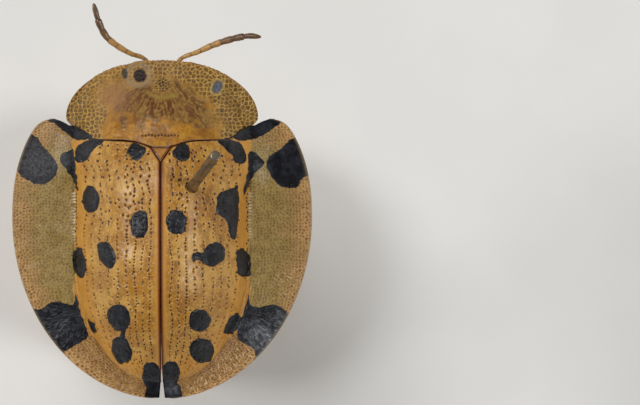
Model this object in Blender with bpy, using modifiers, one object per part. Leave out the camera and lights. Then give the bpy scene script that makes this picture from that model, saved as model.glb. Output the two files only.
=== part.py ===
"""Pinned tortoise beetle, life size, as closed solids in one frame.

+Z is up, +Y points the way the head points and +X is the beetle's right.
The frame starts on the floor, below the middle of the body.
All named sizes are in millimetres and become metres in one place.
"""
import math

import bmesh
import bpy
import numpy as np
from mathutils import Matrix, Vector

MM = 0.001

# Gap kept between two nodes that touch in life
GAP = 0.15

# Outline of the two wing cases together, seen from above
BODY_HALF_WIDTH = 5.75
WIDEST_Y = 0.5
REAR_REACH = 6.98
FRONT_REACH = 5.70
FRONT_POWER = 2.3
SHOULDER_REACH = 3.80
SHOULDER_POWER = 24
SHOULDER_X = 4.30
APEX_X = 0.45
APEX_OPENING = 0.16
APEX_OPENING_Y = -5.0

# Front edge of the wing cases, which the pronotum follows
EDGE_Y = 3.42
EDGE_LOBE_DEPTH = 0.36
EDGE_LOBE_WIDTH = 0.75
EDGE_RISE = 0.83
EDGE_RISE_START_X = 2.3
EDGE_RISE_SPAN_X = 2.0

# Dome of the wing cases and the flat rim round it
DOME_HALF_WIDTH = 3.35
DOME_TURN_Y = -1.0
DOME_REAR_REACH = 4.7
DOME_PLAN_POWER = 2.1
DOME_PROFILE_POWER = 2.3
DOME_HEIGHT = 3.00
DOME_PEAK_Y = 1.2
DOME_FRONT_FALL = 0.17
DOME_FOOT_Z = 15.30
RIM_DROP = 0.36
RIM_DROP_POWER = 1.25

# Pronotum
PRONOTUM_HALF_WIDTH = 3.68
PRONOTUM_CORNER_Y = 4.30
PRONOTUM_FRONT_REACH = 2.20
PRONOTUM_NARROWING = 0.35
PRONOTUM_FALL_POWER = 1.7
PRONOTUM_CORNER_POWER = 20
PRONOTUM_LAST_COLUMN = 0.997

# Thickness of the shell plates
SHELL_THICKNESS = 0.50
EDGE_THICKNESS = 0.45

# Scutellum, the small triangle between the wing cases
SCUTELLUM_FRONT_Y = 3.08
SCUTELLUM_TIP_Y = 2.62
SCUTELLUM_NOTCH_X = 0.36
SCUTELLUM_HALF_WIDTH = 0.24

# Trunk under the shell
VENTRAL_Z = 13.80
VENTRAL_RISE = 0.40
INNER_SHRINK = 1.22
INNER_DROP = 0.74
PROTHORAX_FRONT_Y = 5.00
PROTHORAX_HALF_WIDTH = 2.75
PROTHORAX_WIDEST_Y = 3.00
PROTHORAX_FRONT_REACH = 2.10
PROTHORAX_SEAM_TOP_Y = 3.32
PROTHORAX_SEAM_LOW_Y = 2.30
THORAX_REAR_Y = -1.20
ABDOMEN_HALF_WIDTH = 2.75
ABDOMEN_REAR_REACH = 4.40
ABDOMEN_CORNER_POWER = 3.2
STERNITE_LENGTHS = (0.80, 0.50, 0.40, 0.37, 0.48)

# Head
HEAD_CENTRE = (0.0, 4.45, 14.35)
HEAD_RADII = (0.84, 0.86, 0.64)
EYE_CENTRE = (0.64, 4.72, 14.22)
EYE_RADII = (0.30, 0.54, 0.40)
MOUTH_CENTRE = (0.0, 3.78, 13.88)
MOUTH_RADII = (0.40, 0.34, 0.30)
PALP_POINTS = ((0.20, 3.74, 13.74), (0.33, 3.90, 13.56), (0.26, 4.08, 13.50), (0.13, 4.16, 13.50))
PALP_RADII = (0.08, 0.09, 0.08, 0.05)

# Legs: points from the hip to the toe, then the radii along them
LEG_POINTS = {
    "leg_front_right": ((0.48, 2.62, 13.50), (2.75, 4.02, 13.62), (0.92, 3.42, 13.30), (0.42, 3.05, 13.22)),
    "leg_front_left": ((-0.48, 2.62, 13.50), (-3.10, 3.45, 13.62), (-0.98, 3.40, 13.30), (-0.42, 3.05, 13.22)),
    "leg_mid_right": ((0.88, 1.22, 13.50), (3.50, 0.78, 13.62), (1.78, -0.50, 13.25), (2.62, -1.35, 12.72)),
    "leg_mid_left": ((-0.88, 1.22, 13.50), (-3.45, -0.80, 13.62), (-1.32, -0.72, 13.25), (-1.62, -2.05, 12.72)),
    "leg_hind_right": ((1.05, -1.42, 13.50), (3.45, -1.30, 13.62), (1.45, -2.72, 13.30), (1.75, -3.55, 13.20)),
    "leg_hind_left": ((-1.05, -1.62, 13.50), (-3.25, -3.72, 13.62), (-0.95, -3.12, 13.30), (-0.85, -4.45, 13.20)),
}
COXA_RADII = (0.38, 0.34, 0.26)
COXA_TOP_Z = VENTRAL_Z - GAP
FEMUR_RADII = (0.20, 0.29, 0.24)
FEMUR_THICKEST = 0.45
TIBIA_RADII = (0.22, 0.25)
TARSUS_RADII = (0.24, 0.27, 0.15)
TARSUS_PADS = 3
LINK_SIDES = 10
LINK_CAP = 0.7071

# Feelers: points along the middle of each, from the socket to the tip
ANTENNA_POINTS = {
    "antenna_right": ((0.18, 5.02, 14.15), (0.30, 5.75, 13.98), (0.66, 6.53, 14.00), (1.34, 6.83, 14.10),
                      (2.03, 7.13, 14.20), (2.72, 7.34, 14.32), (3.30, 7.44, 14.42), (3.80, 7.40, 14.50)),
    "antenna_left": ((-0.18, 5.02, 14.15), (-0.30, 5.75, 13.98), (-0.66, 6.53, 14.00), (-1.24, 6.78, 14.10),
                     (-1.75, 7.08, 14.20), (-2.15, 7.42, 14.30), (-2.40, 7.87, 14.40), (-2.54, 8.31, 14.50),
                     (-2.64, 8.70, 14.58)),
}
ANTENNA_ARTICLES = 11
ANTENNA_RADIUS = 0.24
ANTENNA_TIP_RADIUS = 0.12
ANTENNA_WAIST = 0.80

# Pin through the right wing case, and the small base it stands in
PIN_RADIUS = 0.20
PIN_CLEARANCE = 0.12
PIN_THROUGH = (1.19, 1.63, 17.95)
PIN_SLOPE = (0.185, 0.225)
PIN_TOP_Z = 23.20
PIN_FOOT_Z = 1.20
PIN_POINT_LENGTH = 0.70
PIN_POINT_RADII = (0.06, 0.19)
PIN_POINT_OVERLAP = 0.05
PIN_SIDES = 20
BASE_CENTRE = (-0.70, -0.90)
BASE_RADIUS = 4.70
BASE_HEIGHT = 4.00
BASE_BEVEL = 0.30
BASE_SIDES = 48

# Fineness of the solids
ELYTRON_ROWS = 34
DOME_COLUMNS = 12
RIM_COLUMNS = 7
FOOT_LEAST_SHARE = 0.08
FOOT_SEARCH_STEPS = 24
PRONOTUM_ROWS = 13
PRONOTUM_COLUMNS = 32
TRUNK_COLUMNS = 16
PROTHORAX_ROWS = 7
THORAX_ROWS = 9
STERNITE_ROWS = 3
RIM_SAMPLES = 400


# Shared scene work

def clear_scene():
    for obj in list(bpy.data.objects):
        bpy.data.objects.remove(obj, do_unlink=True)


def plain_material(name, colour, roughness, metallic=0.0):
    material = bpy.data.materials.new(name)
    material.use_nodes = True
    shader = material.node_tree.nodes["Principled BSDF"]
    shader.inputs["Base Color"].default_value = (*colour, 1.0)
    shader.inputs["Roughness"].default_value = roughness
    shader.inputs["Metallic"].default_value = metallic
    return material


def object_from_mesh(name, vertices, faces, collection=None):
    mesh = bpy.data.meshes.new(name)
    points = [tuple(float(value) for value in vertex) for vertex in vertices]
    mesh.from_pydata(points, [], faces)
    obj = bpy.data.objects.new(name, mesh)
    (collection or bpy.context.scene.collection).objects.link(obj)
    face_outward(obj)
    return obj


def object_from_bmesh(name, work, collection=None):
    mesh = bpy.data.meshes.new(name)
    work.to_mesh(mesh)
    work.free()
    obj = bpy.data.objects.new(name, mesh)
    (collection or bpy.context.scene.collection).objects.link(obj)
    face_outward(obj)
    return obj


def face_outward(obj):
    work = bmesh.new()
    work.from_mesh(obj.data)
    bmesh.ops.recalc_face_normals(work, faces=work.faces)
    work.to_mesh(obj.data)
    work.free()


def cutter_collection():
    found = bpy.data.collections.get("cutters")
    if found is None:
        found = bpy.data.collections.new("cutters")
        bpy.context.scene.collection.children.link(found)
    return found


def apply_modifier(obj, modifier):
    bpy.context.view_layer.objects.active = obj
    bpy.ops.object.modifier_apply(modifier=modifier.name)


def cut_away(obj, cutter):
    modifier = obj.modifiers.new("cut", "BOOLEAN")
    modifier.operation = "DIFFERENCE"
    modifier.solver = "EXACT"
    modifier.object = cutter
    apply_modifier(obj, modifier)
    bpy.data.objects.remove(cutter, do_unlink=True)
    keep_largest_surface(obj)


def fuse(first, others):
    """Joins several closed pieces into the first by one union."""
    group = bpy.data.collections.new("pieces")
    bpy.context.scene.collection.children.link(group)
    for piece in others:
        for home in list(piece.users_collection):
            home.objects.unlink(piece)
        group.objects.link(piece)
    modifier = first.modifiers.new("union", "BOOLEAN")
    modifier.operation = "UNION"
    modifier.solver = "EXACT"
    modifier.operand_type = "COLLECTION"
    modifier.collection = group
    apply_modifier(first, modifier)
    for piece in list(group.objects):
        bpy.data.objects.remove(piece, do_unlink=True)
    bpy.data.collections.remove(group)
    keep_largest_surface(first)
    return first


def keep_largest_surface(obj):
    """Drops every loose surface but the one with the most faces."""
    work = bmesh.new()
    work.from_mesh(obj.data)
    unseen = set(work.faces)
    largest = []
    while unseen:
        seed = unseen.pop()
        island = [seed]
        front = [seed]
        while front:
            face = front.pop()
            for edge in face.edges:
                for other in edge.link_faces:
                    if other in unseen:
                        unseen.discard(other)
                        island.append(other)
                        front.append(other)
        if len(island) > len(largest):
            largest = island
    kept = set(largest)
    loose = [face for face in work.faces if face not in kept]
    if loose:
        bmesh.ops.delete(work, geom=loose, context="FACES")
    work.to_mesh(obj.data)
    work.free()


# Shapes of the shell

def smoothstep(value):
    value = np.clip(value, 0.0, 1.0)
    return value * value * (3.0 - 2.0 * value)


def front_edge_y(x):
    """The line where the wing cases meet the pronotum."""
    x = np.abs(x)
    lobe = EDGE_LOBE_DEPTH * np.exp(-(x / EDGE_LOBE_WIDTH) ** 2)
    rise = EDGE_RISE * smoothstep((x - EDGE_RISE_START_X) / EDGE_RISE_SPAN_X)
    return EDGE_Y - lobe + rise


def rim_ratio(x, y):
    """1 on the outer rim, and in proportion to the way out to it from the widest place."""
    across = np.abs(x) / BODY_HALF_WIDTH
    ahead = np.clip(y - WIDEST_Y, 0.0, None)
    behind = np.clip(WIDEST_Y - y, 0.0, None)
    side = (across ** FRONT_POWER + (ahead / FRONT_REACH) ** FRONT_POWER) ** (1.0 / FRONT_POWER)
    front = (side ** SHOULDER_POWER + (ahead / SHOULDER_REACH) ** SHOULDER_POWER) ** (1.0 / SHOULDER_POWER)
    rear = np.hypot(across, behind / REAR_REACH)
    return np.where(y > WIDEST_Y, front, rear)


def rim_line(count):
    """Evenly spaced points of the right rim, from the shoulder to the apex."""
    angle = np.linspace(math.pi / 2, -math.pi / 2, RIM_SAMPLES)
    reach = 1.0 / rim_ratio(np.cos(angle), WIDEST_Y + np.sin(angle))
    round_rim = np.stack([reach * np.cos(angle), WIDEST_Y + reach * np.sin(angle)], axis=1)
    least_x = np.where(angle > 0, SHOULDER_X, APEX_X)
    shoulder = [(SHOULDER_X, float(front_edge_y(SHOULDER_X)))]
    line = np.concatenate([shoulder, round_rim[round_rim[:, 0] >= least_x]])
    steps = np.hypot(*np.diff(line, axis=0).T)
    travelled = np.concatenate([[0.0], np.cumsum(steps)])
    wanted = np.linspace(0.0, travelled[-1], count)
    return np.stack([np.interp(wanted, travelled, line[:, axis]) for axis in (0, 1)], axis=1)


def dome_ratio(x, y):
    """1 on the foot of the dome, less inside it."""
    behind = np.clip(DOME_TURN_Y - y, 0.0, None) / DOME_REAR_REACH
    across = np.abs(x) / DOME_HALF_WIDTH
    return (across ** DOME_PLAN_POWER + behind ** DOME_PLAN_POWER) ** (1.0 / DOME_PLAN_POWER)


def dome_height(y):
    fall = np.clip(y - DOME_PEAK_Y, 0.0, None)
    return DOME_HEIGHT - DOME_FRONT_FALL * fall ** 2


def dome_profile(ratio):
    return 1.0 - np.clip(ratio, 0.0, 1.0) ** DOME_PROFILE_POWER


def elytra_top(x, y):
    """Height of the upper face of the wing cases."""
    inner = dome_ratio(x, y)
    past_foot = np.clip(inner - 1.0, 0.0, None)
    to_rim = np.clip(1.0 - rim_ratio(x, y), 0.0, None)
    out = past_foot / (past_foot + to_rim + 1e-9)
    return DOME_FOOT_Z + dome_height(y) * dome_profile(inner) - RIM_DROP * out ** RIM_DROP_POWER


def pronotum_front_y(x):
    inside = np.clip(1.0 - (np.abs(x) / PRONOTUM_HALF_WIDTH) ** 2, 0.0, None)
    return PRONOTUM_CORNER_Y + PRONOTUM_FRONT_REACH * np.sqrt(inside)


def pronotum_base_y(x):
    """Rear edge of the pronotum, rounded up to the side corners."""
    inside = np.clip(1.0 - (np.abs(x) / PRONOTUM_HALF_WIDTH) ** PRONOTUM_CORNER_POWER, 0.0, None)
    base = front_edge_y(x) + GAP
    return PRONOTUM_CORNER_Y - (PRONOTUM_CORNER_Y - base) * np.sqrt(inside)


def pronotum_top(x, y):
    """Height of the upper face of the pronotum."""
    span = PRONOTUM_CORNER_Y + PRONOTUM_FRONT_REACH - EDGE_Y
    along = np.clip((y - EDGE_Y) / span, 0.0, 1.0)
    spread = np.abs(x) * (1.0 + PRONOTUM_NARROWING * along) / DOME_HALF_WIDTH
    dome = dome_height(EDGE_Y) * dome_profile(spread)
    edge = (np.abs(x) / PRONOTUM_HALF_WIDTH) ** 2 + (along * 0.9) ** 2
    return DOME_FOOT_Z + dome * (1.0 - along ** PRONOTUM_FALL_POWER) - RIM_DROP * np.clip(edge, 0.0, 1.0) ** 2


def up_normals(grid):
    """Unit normals of a grid of points, all with a positive Z part."""
    along = np.gradient(grid, axis=0)
    across = np.gradient(grid, axis=1)
    normal = np.cross(along, across)
    normal /= np.linalg.norm(normal, axis=2, keepdims=True)
    return normal * np.sign(normal[..., 2:3])


def closed_from_grids(name, upper, lower):
    """One closed solid between two grids of the same size."""
    rows, columns = upper.shape[:2]
    count = rows * columns
    vertices = np.concatenate([upper.reshape(-1, 3), lower.reshape(-1, 3)])
    faces = []
    for row in range(rows - 1):
        for column in range(columns - 1):
            corner = row * columns + column
            quad = (corner, corner + 1, corner + columns + 1, corner + columns)
            faces.append(quad)
            faces.append(tuple(count + index for index in reversed(quad)))
    loop = [column for column in range(columns)]
    loop += [row * columns + columns - 1 for row in range(1, rows)]
    loop += [(rows - 1) * columns + column for column in range(columns - 2, -1, -1)]
    loop += [row * columns for row in range(rows - 2, 0, -1)]
    for here, there in zip(loop, loop[1:] + loop[:1]):
        faces.append((here, there, count + there, count + here))
    return object_from_mesh(name, vertices, faces)


def shell_from_grid(name, upper):
    thickness = np.full(upper.shape[:2] + (1,), SHELL_THICKNESS)
    thickness[0] = EDGE_THICKNESS
    thickness[-1] = EDGE_THICKNESS
    thickness[:, -1] = EDGE_THICKNESS
    return closed_from_grids(name, upper, upper - up_normals(upper) * thickness)


# Shell plates

def seam_x(y):
    """Inner edge of a wing case: the seam, the notch for the scutellum and the parted tips."""
    notch = np.clip((y - SCUTELLUM_TIP_Y) / (SCUTELLUM_FRONT_Y - SCUTELLUM_TIP_Y), 0.0, 1.0)
    parted = smoothstep((APEX_OPENING_Y - y) / (WIDEST_Y + REAR_REACH + APEX_OPENING_Y))
    return GAP / 2 + (SCUTELLUM_NOTCH_X - GAP / 2) * notch + (APEX_OPENING - GAP / 2) * parted


def elytron_point(seam, rim, share, fade):
    """A point on the line from the seam to the rim, bent to follow the front edge."""
    point = seam * (1.0 - share) + rim * share
    front_y = float(front_edge_y(SCUTELLUM_NOTCH_X))
    shoulder_y = float(front_edge_y(SHOULDER_X))
    straight = front_y * (1.0 - share) + shoulder_y * share
    bend = float(front_edge_y(point[0])) - straight
    return point[0], point[1] + bend * fade


def foot_share(seam, rim, fade):
    """How far from the seam to the rim a row meets the foot of the dome."""
    low = 0.0
    high = 1.0
    for _ in range(FOOT_SEARCH_STEPS):
        middle = (low + high) / 2
        x, y = elytron_point(seam, rim, middle, fade)
        if dome_ratio(x, y) < 1.0:
            low = middle
        else:
            high = middle
    return max(low, FOOT_LEAST_SHARE)


def elytron_grid():
    rim = rim_line(ELYTRON_ROWS)
    seam_y = np.linspace(float(front_edge_y(SCUTELLUM_NOTCH_X)), rim[-1, 1] + 0.02, ELYTRON_ROWS)
    seam = np.stack([seam_x(seam_y), seam_y], axis=1)
    grid = np.zeros((ELYTRON_ROWS, DOME_COLUMNS + RIM_COLUMNS + 1, 3))
    for row in range(ELYTRON_ROWS):
        fade = (1.0 - row / (ELYTRON_ROWS - 1)) ** 4
        foot = foot_share(seam[row], rim[row], fade)
        shares = np.concatenate([np.linspace(0.0, foot, DOME_COLUMNS, endpoint=False),
                                 np.linspace(foot, 1.0, RIM_COLUMNS + 1)])
        for column, share in enumerate(shares):
            grid[row, column, :2] = elytron_point(seam[row], rim[row], share, fade)
    grid[..., 2] = elytra_top(grid[..., 0], grid[..., 1])
    return grid


def mirrored(grid):
    flipped = grid.copy()
    flipped[..., 0] *= -1.0
    return flipped


def build_elytra():
    grid = elytron_grid()
    right = shell_from_grid("elytron_right", grid)
    left = shell_from_grid("elytron_left", mirrored(grid))
    cut_away(right, pin_cutter())
    return right, left


def build_pronotum():
    turns = np.linspace(-1.0, 1.0, PRONOTUM_COLUMNS)
    across = PRONOTUM_HALF_WIDTH * PRONOTUM_LAST_COLUMN * np.sin(turns * math.pi / 2)
    along = np.linspace(0.0, 1.0, PRONOTUM_ROWS)[:, None]
    x = np.repeat(across[None, :], PRONOTUM_ROWS, axis=0)
    y = pronotum_base_y(across) * (1.0 - along) + pronotum_front_y(across) * along
    grid = np.stack([x, y, pronotum_top(x, y)], axis=2)
    thickness = np.full(grid.shape[:2] + (1,), SHELL_THICKNESS)
    thickness[0] = EDGE_THICKNESS
    thickness[-1] = EDGE_THICKNESS
    lower = grid.copy()
    lower[..., 2:] -= thickness / up_normals(grid)[..., 2:]
    return closed_from_grids("pronotum", grid, lower)


def build_scutellum():
    corners = ((-SCUTELLUM_HALF_WIDTH, SCUTELLUM_FRONT_Y), (SCUTELLUM_HALF_WIDTH, SCUTELLUM_FRONT_Y),
               (0.0, SCUTELLUM_TIP_Y))
    top = [(x, y, float(elytra_top(np.array(x), np.array(y)))) for x, y in corners]
    low = [(x, y, z - SHELL_THICKNESS) for x, y, z in top]
    faces = [(0, 1, 2), (5, 4, 3), (0, 3, 4, 1), (1, 4, 5, 2), (2, 5, 3, 0)]
    return object_from_mesh("scutellum", top + low, faces)


# Trunk

def inner_dome(x, y):
    """Upper face of the trunk, clear of the wing cases above it."""
    turned = np.where(y < DOME_TURN_Y, DOME_TURN_Y + (y - DOME_TURN_Y) * INNER_SHRINK, y)
    return elytra_top(x * INNER_SHRINK, turned) - INNER_DROP


def inner_pronotum(x, y):
    return pronotum_top(x * INNER_SHRINK, y) - INNER_DROP


def trunk_half_width(y):
    behind = np.clip(DOME_TURN_Y - y, 0.0, None) * INNER_SHRINK / DOME_REAR_REACH
    inside = np.clip(1.0 - behind ** DOME_PLAN_POWER, 0.0, 1.0) ** (1.0 / DOME_PLAN_POWER)
    return DOME_HALF_WIDTH / INNER_SHRINK * inside


def abdomen_half_width(y):
    """Half the width of the abdomen's lower face, which stays broad up to a blunt rear end."""
    behind = np.clip(DOME_TURN_Y - y, 0.0, None) / ABDOMEN_REAR_REACH
    return ABDOMEN_HALF_WIDTH * (1.0 - behind ** ABDOMEN_CORNER_POWER) ** (1.0 / ABDOMEN_CORNER_POWER)


def ventral_z(x):
    return VENTRAL_Z + VENTRAL_RISE * (x * INNER_SHRINK / DOME_HALF_WIDTH) ** 2


def prothorax_half_width(y):
    ahead = np.clip(y - PROTHORAX_WIDEST_Y, 0.0, None) / PROTHORAX_FRONT_REACH
    return PROTHORAX_HALF_WIDTH * np.sqrt(np.clip(1.0 - ahead ** 2, 0.0, 1.0))


def trunk_block(name, front, rear, rows, top, half_widths):
    """A slice of the trunk. Front, rear and half widths are each given at the top and at the bottom."""
    across = np.linspace(-1.0, 1.0, TRUNK_COLUMNS)[None, :]
    along = np.linspace(0.0, 1.0, rows)[:, None]
    top_y, low_y = (front[end] * (1.0 - along) + rear[end] * along + 0.0 * across for end in (0, 1))
    top_x = across * half_widths[0](top_y)
    low_x = across * half_widths[1](low_y)
    upper = np.stack([top_x, top_y, top(top_x, top_y)], axis=2)
    lower = np.stack([low_x, low_y, ventral_z(low_x)], axis=2)
    return closed_from_grids(name, upper, lower)


def build_prothorax():
    front = (PROTHORAX_FRONT_Y, PROTHORAX_FRONT_Y)
    rear = (PROTHORAX_SEAM_TOP_Y + GAP, PROTHORAX_SEAM_LOW_Y)
    half_widths = (prothorax_half_width, prothorax_half_width)
    body = trunk_block("prothorax", front, rear, PROTHORAX_ROWS, inner_pronotum, half_widths)
    cut_away(body, ellipsoid_cutter(HEAD_CENTRE, HEAD_RADII))
    for side in (-1, 1):
        cut_away(body, ellipsoid_cutter(sided(EYE_CENTRE, side), EYE_RADII))
    cut_away(body, ellipsoid_cutter(MOUTH_CENTRE, MOUTH_RADII))
    return body


def build_thorax():
    front = (PROTHORAX_SEAM_TOP_Y - GAP, PROTHORAX_SEAM_LOW_Y - GAP)
    rear = (THORAX_REAR_Y, THORAX_REAR_Y)
    half_widths = (trunk_half_width, trunk_half_width)
    body = trunk_block("thorax", front, rear, THORAX_ROWS, inner_dome, half_widths)
    cut_away(body, pin_cutter())
    return body


def build_sternites():
    plates = []
    half_widths = (trunk_half_width, abdomen_half_width)
    front = THORAX_REAR_Y - GAP
    for index, length in enumerate(STERNITE_LENGTHS):
        rear = front - length
        name = f"sternite_{index + 1}"
        plates.append(trunk_block(name, (front, front), (rear, rear), STERNITE_ROWS, inner_dome, half_widths))
        front = rear - GAP
    return plates


# Head

def sided(point, side):
    return side * point[0], point[1], point[2]


def ellipsoid(name, centre, radii, collection=None, segments=22, rings=13):
    work = bmesh.new()
    bmesh.ops.create_uvsphere(work, u_segments=segments, v_segments=rings, radius=1.0)
    bmesh.ops.scale(work, vec=radii, verts=work.verts)
    bmesh.ops.translate(work, vec=centre, verts=work.verts)
    return object_from_bmesh(name, work, collection)


def ellipsoid_cutter(centre, radii):
    grown = tuple(radius + GAP for radius in radii)
    cutter = ellipsoid("cutter", centre, grown, cutter_collection())
    mark_as_cutter(cutter)
    return cutter


def mark_as_cutter(obj):
    obj.hide_render = True
    obj.display_type = "WIRE"


def build_head():
    head = ellipsoid("head", HEAD_CENTRE, HEAD_RADII)
    for side in (-1, 1):
        cut_away(head, ellipsoid_cutter(sided(EYE_CENTRE, side), EYE_RADII))
    cut_away(head, ellipsoid_cutter(MOUTH_CENTRE, MOUTH_RADII))
    return head


def build_eyes():
    right = ellipsoid("eye_right", sided(EYE_CENTRE, 1), EYE_RADII, segments=16, rings=10)
    left = ellipsoid("eye_left", sided(EYE_CENTRE, -1), EYE_RADII, segments=16, rings=10)
    return right, left


def build_mouthparts():
    """The jaws as one form, with a bent palp on each side."""
    jaws = ellipsoid("mouthparts", MOUTH_CENTRE, MOUTH_RADII, segments=14, rings=9)
    palps = []
    for side in (-1, 1):
        joints = [sided(point, side) for point in PALP_POINTS]
        for index in range(len(joints) - 1):
            radii = PALP_RADII[index:index + 2]
            palps.append(tapered_link("palp", joints[index], joints[index + 1], radii[0], radii[1]))
    return fuse(jaws, palps)


# Links, legs and feelers

def tapered_link(name, start, end, start_radius, end_radius):
    """A round-ended link along the line from start to end, which may taper."""
    start = Vector(start)
    end = Vector(end)
    axis = (end - start).normalized()
    side = axis.orthogonal().normalized()
    other = axis.cross(side)
    profile = [(start, -start_radius * LINK_CAP, start_radius * LINK_CAP), (start, 0.0, start_radius),
               (end, 0.0, end_radius), (end, end_radius * LINK_CAP, end_radius * LINK_CAP)]
    vertices = [start - axis * start_radius]
    for centre, shift, radius in profile:
        for step in range(LINK_SIDES):
            angle = 2 * math.pi * step / LINK_SIDES
            around = side * math.cos(angle) + other * math.sin(angle)
            vertices.append(centre + axis * shift + around * radius)
    vertices.append(end + axis * end_radius)
    faces = []
    last = len(vertices) - 1
    for step in range(LINK_SIDES):
        beside = (step + 1) % LINK_SIDES
        faces.append((0, 1 + beside, 1 + step))
        for ring in range(len(profile) - 1):
            low = 1 + ring * LINK_SIDES
            high = low + LINK_SIDES
            faces.append((low + step, low + beside, high + beside, high + step))
        top = last - LINK_SIDES
        faces.append((last, top + step, top + beside))
    return object_from_mesh(name, vertices, faces)


def between(start, end, share):
    return tuple(a + (b - a) * share for a, b in zip(start, end))


def coxa(name, hip):
    """Hip joint with a flat top that faces the trunk."""
    obj = ellipsoid(name, hip, COXA_RADII, segments=14, rings=8)
    for vertex in obj.data.vertices:
        vertex.co.z = min(vertex.co.z, COXA_TOP_Z)
    return obj


def build_leg(name, points):
    hip, knee, ankle, toe = points
    root = (hip[0], hip[1], hip[2] - 0.12)
    thick = between(root, knee, FEMUR_THICKEST)
    pieces = [tapered_link("femur", root, thick, FEMUR_RADII[0], FEMUR_RADII[1]),
              tapered_link("femur", thick, knee, FEMUR_RADII[1], FEMUR_RADII[2]),
              tapered_link("tibia", knee, ankle, TIBIA_RADII[0], TIBIA_RADII[1])]
    for pad in range(TARSUS_PADS):
        start = between(ankle, toe, pad / TARSUS_PADS)
        end = between(ankle, toe, (pad + 0.8) / TARSUS_PADS)
        end_radius = TARSUS_RADII[2] if pad == TARSUS_PADS - 1 else TARSUS_RADII[1]
        pieces.append(tapered_link("tarsus", start, end, TARSUS_RADII[0], end_radius))
    return fuse(coxa(name, hip), pieces)


def build_legs():
    return [build_leg(name, points) for name, points in LEG_POINTS.items()]


def smooth_line(points, count):
    """Evenly spaced points on a smooth curve through the given ones."""
    given = np.array([points[0]] + list(points) + [points[-1]], dtype=float)
    dense = []
    for index in range(1, len(given) - 2):
        before, start, end, after = given[index - 1:index + 3]
        for share in np.linspace(0.0, 1.0, 24, endpoint=False):
            square = share * share
            cube = square * share
            dense.append(0.5 * (2 * start + (end - before) * share
                                + (2 * before - 5 * start + 4 * end - after) * square
                                + (3 * start - before - 3 * end + after) * cube))
    dense.append(given[-2])
    line = np.array(dense)
    travelled = np.concatenate([[0.0], np.cumsum(np.linalg.norm(np.diff(line, axis=0), axis=1))])
    wanted = np.linspace(0.0, travelled[-1], count)
    return np.stack([np.interp(wanted, travelled, line[:, axis]) for axis in range(3)], axis=1)


def build_antenna(name, points):
    line = smooth_line(points, ANTENNA_ARTICLES + 1)
    pieces = []
    for article in range(ANTENNA_ARTICLES):
        end_radius = ANTENNA_TIP_RADIUS if article == ANTENNA_ARTICLES - 1 else ANTENNA_RADIUS
        start = tuple(line[article])
        end = between(start, tuple(line[article + 1]), 0.9)
        pieces.append(tapered_link(name, start, end, ANTENNA_RADIUS * ANTENNA_WAIST, end_radius))
    feeler = fuse(pieces[0], pieces[1:])
    feeler.name = name
    cut_away(feeler, ellipsoid_cutter(HEAD_CENTRE, HEAD_RADII))
    return feeler


def build_antennae():
    return [build_antenna(name, points) for name, points in ANTENNA_POINTS.items()]


# Pin and base

def pin_point(z):
    return (PIN_THROUGH[0] + PIN_SLOPE[0] * (z - PIN_THROUGH[2]),
            PIN_THROUGH[1] + PIN_SLOPE[1] * (z - PIN_THROUGH[2]), z)


def slanted_rod(name, low_z, high_z, low_radius, radius, collection=None):
    """A round rod along the pin's own line."""
    start = Vector(pin_point(low_z))
    end = Vector(pin_point(high_z))
    axis = end - start
    turn = axis.to_track_quat("Z", "Y").to_matrix().to_4x4()
    place = Matrix.Translation((start + end) / 2) @ turn
    work = bmesh.new()
    bmesh.ops.create_cone(work, cap_ends=True, segments=PIN_SIDES, radius1=low_radius, radius2=radius,
                          depth=axis.length, matrix=place)
    return object_from_bmesh(name, work, collection)


def pin_cutter(low_z=PIN_FOOT_Z - GAP):
    radius = PIN_RADIUS + PIN_CLEARANCE
    cutter = slanted_rod("cutter", low_z, PIN_TOP_Z + 1.0, radius, radius, cutter_collection())
    mark_as_cutter(cutter)
    return cutter


def build_pin():
    shaft_foot = PIN_FOOT_Z + PIN_POINT_LENGTH
    shaft = slanted_rod("pin", shaft_foot, PIN_TOP_Z, PIN_RADIUS, PIN_RADIUS)
    point = slanted_rod("point", PIN_FOOT_Z, shaft_foot + PIN_POINT_OVERLAP, *PIN_POINT_RADII)
    return fuse(shaft, [point])


def build_base():
    work = bmesh.new()
    place = Matrix.Translation((BASE_CENTRE[0], BASE_CENTRE[1], BASE_HEIGHT / 2))
    bmesh.ops.create_cone(work, cap_ends=True, segments=BASE_SIDES, radius1=BASE_RADIUS, radius2=BASE_RADIUS,
                          depth=BASE_HEIGHT, matrix=place)
    base = object_from_bmesh("stand_base", work)
    bevel = base.modifiers.new("bevel", "BEVEL")
    bevel.width = BASE_BEVEL
    bevel.segments = 2
    bevel.limit_method = "ANGLE"
    apply_modifier(base, bevel)
    cut_away(base, pin_cutter())
    return base


# Everything together

def give_material(obj, material):
    obj.data.materials.clear()
    obj.data.materials.append(material)


def material_for(name):
    """The kind of surface each node has in life."""
    if name == "stand_base":
        return plain_material(name, (0.62, 0.50, 0.34), 0.60)
    if name == "pin":
        return plain_material(name, (0.30, 0.29, 0.26), 0.35, metallic=1.0)
    if name.startswith("eye"):
        return plain_material(name, (0.05, 0.05, 0.05), 0.25)
    if name.startswith(("elytron", "pronotum", "scutellum")):
        return plain_material(name, (0.52, 0.28, 0.08), 0.40)
    return plain_material(name, (0.45, 0.20, 0.06), 0.45)


def to_metres():
    for obj in bpy.context.scene.objects:
        obj.data.transform(Matrix.Scale(MM, 4))
        obj.data.update()


def main():
    clear_scene()
    build_base()
    build_pin()
    build_elytra()
    build_pronotum()
    build_scutellum()
    build_prothorax()
    build_thorax()
    build_sternites()
    build_head()
    build_eyes()
    build_mouthparts()
    build_legs()
    build_antennae()
    for obj in bpy.context.scene.objects:
        give_material(obj, material_for(obj.name))
    cutters = bpy.data.collections.get("cutters")
    if cutters is not None:
        bpy.data.collections.remove(cutters)
    to_metres()


main()
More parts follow.
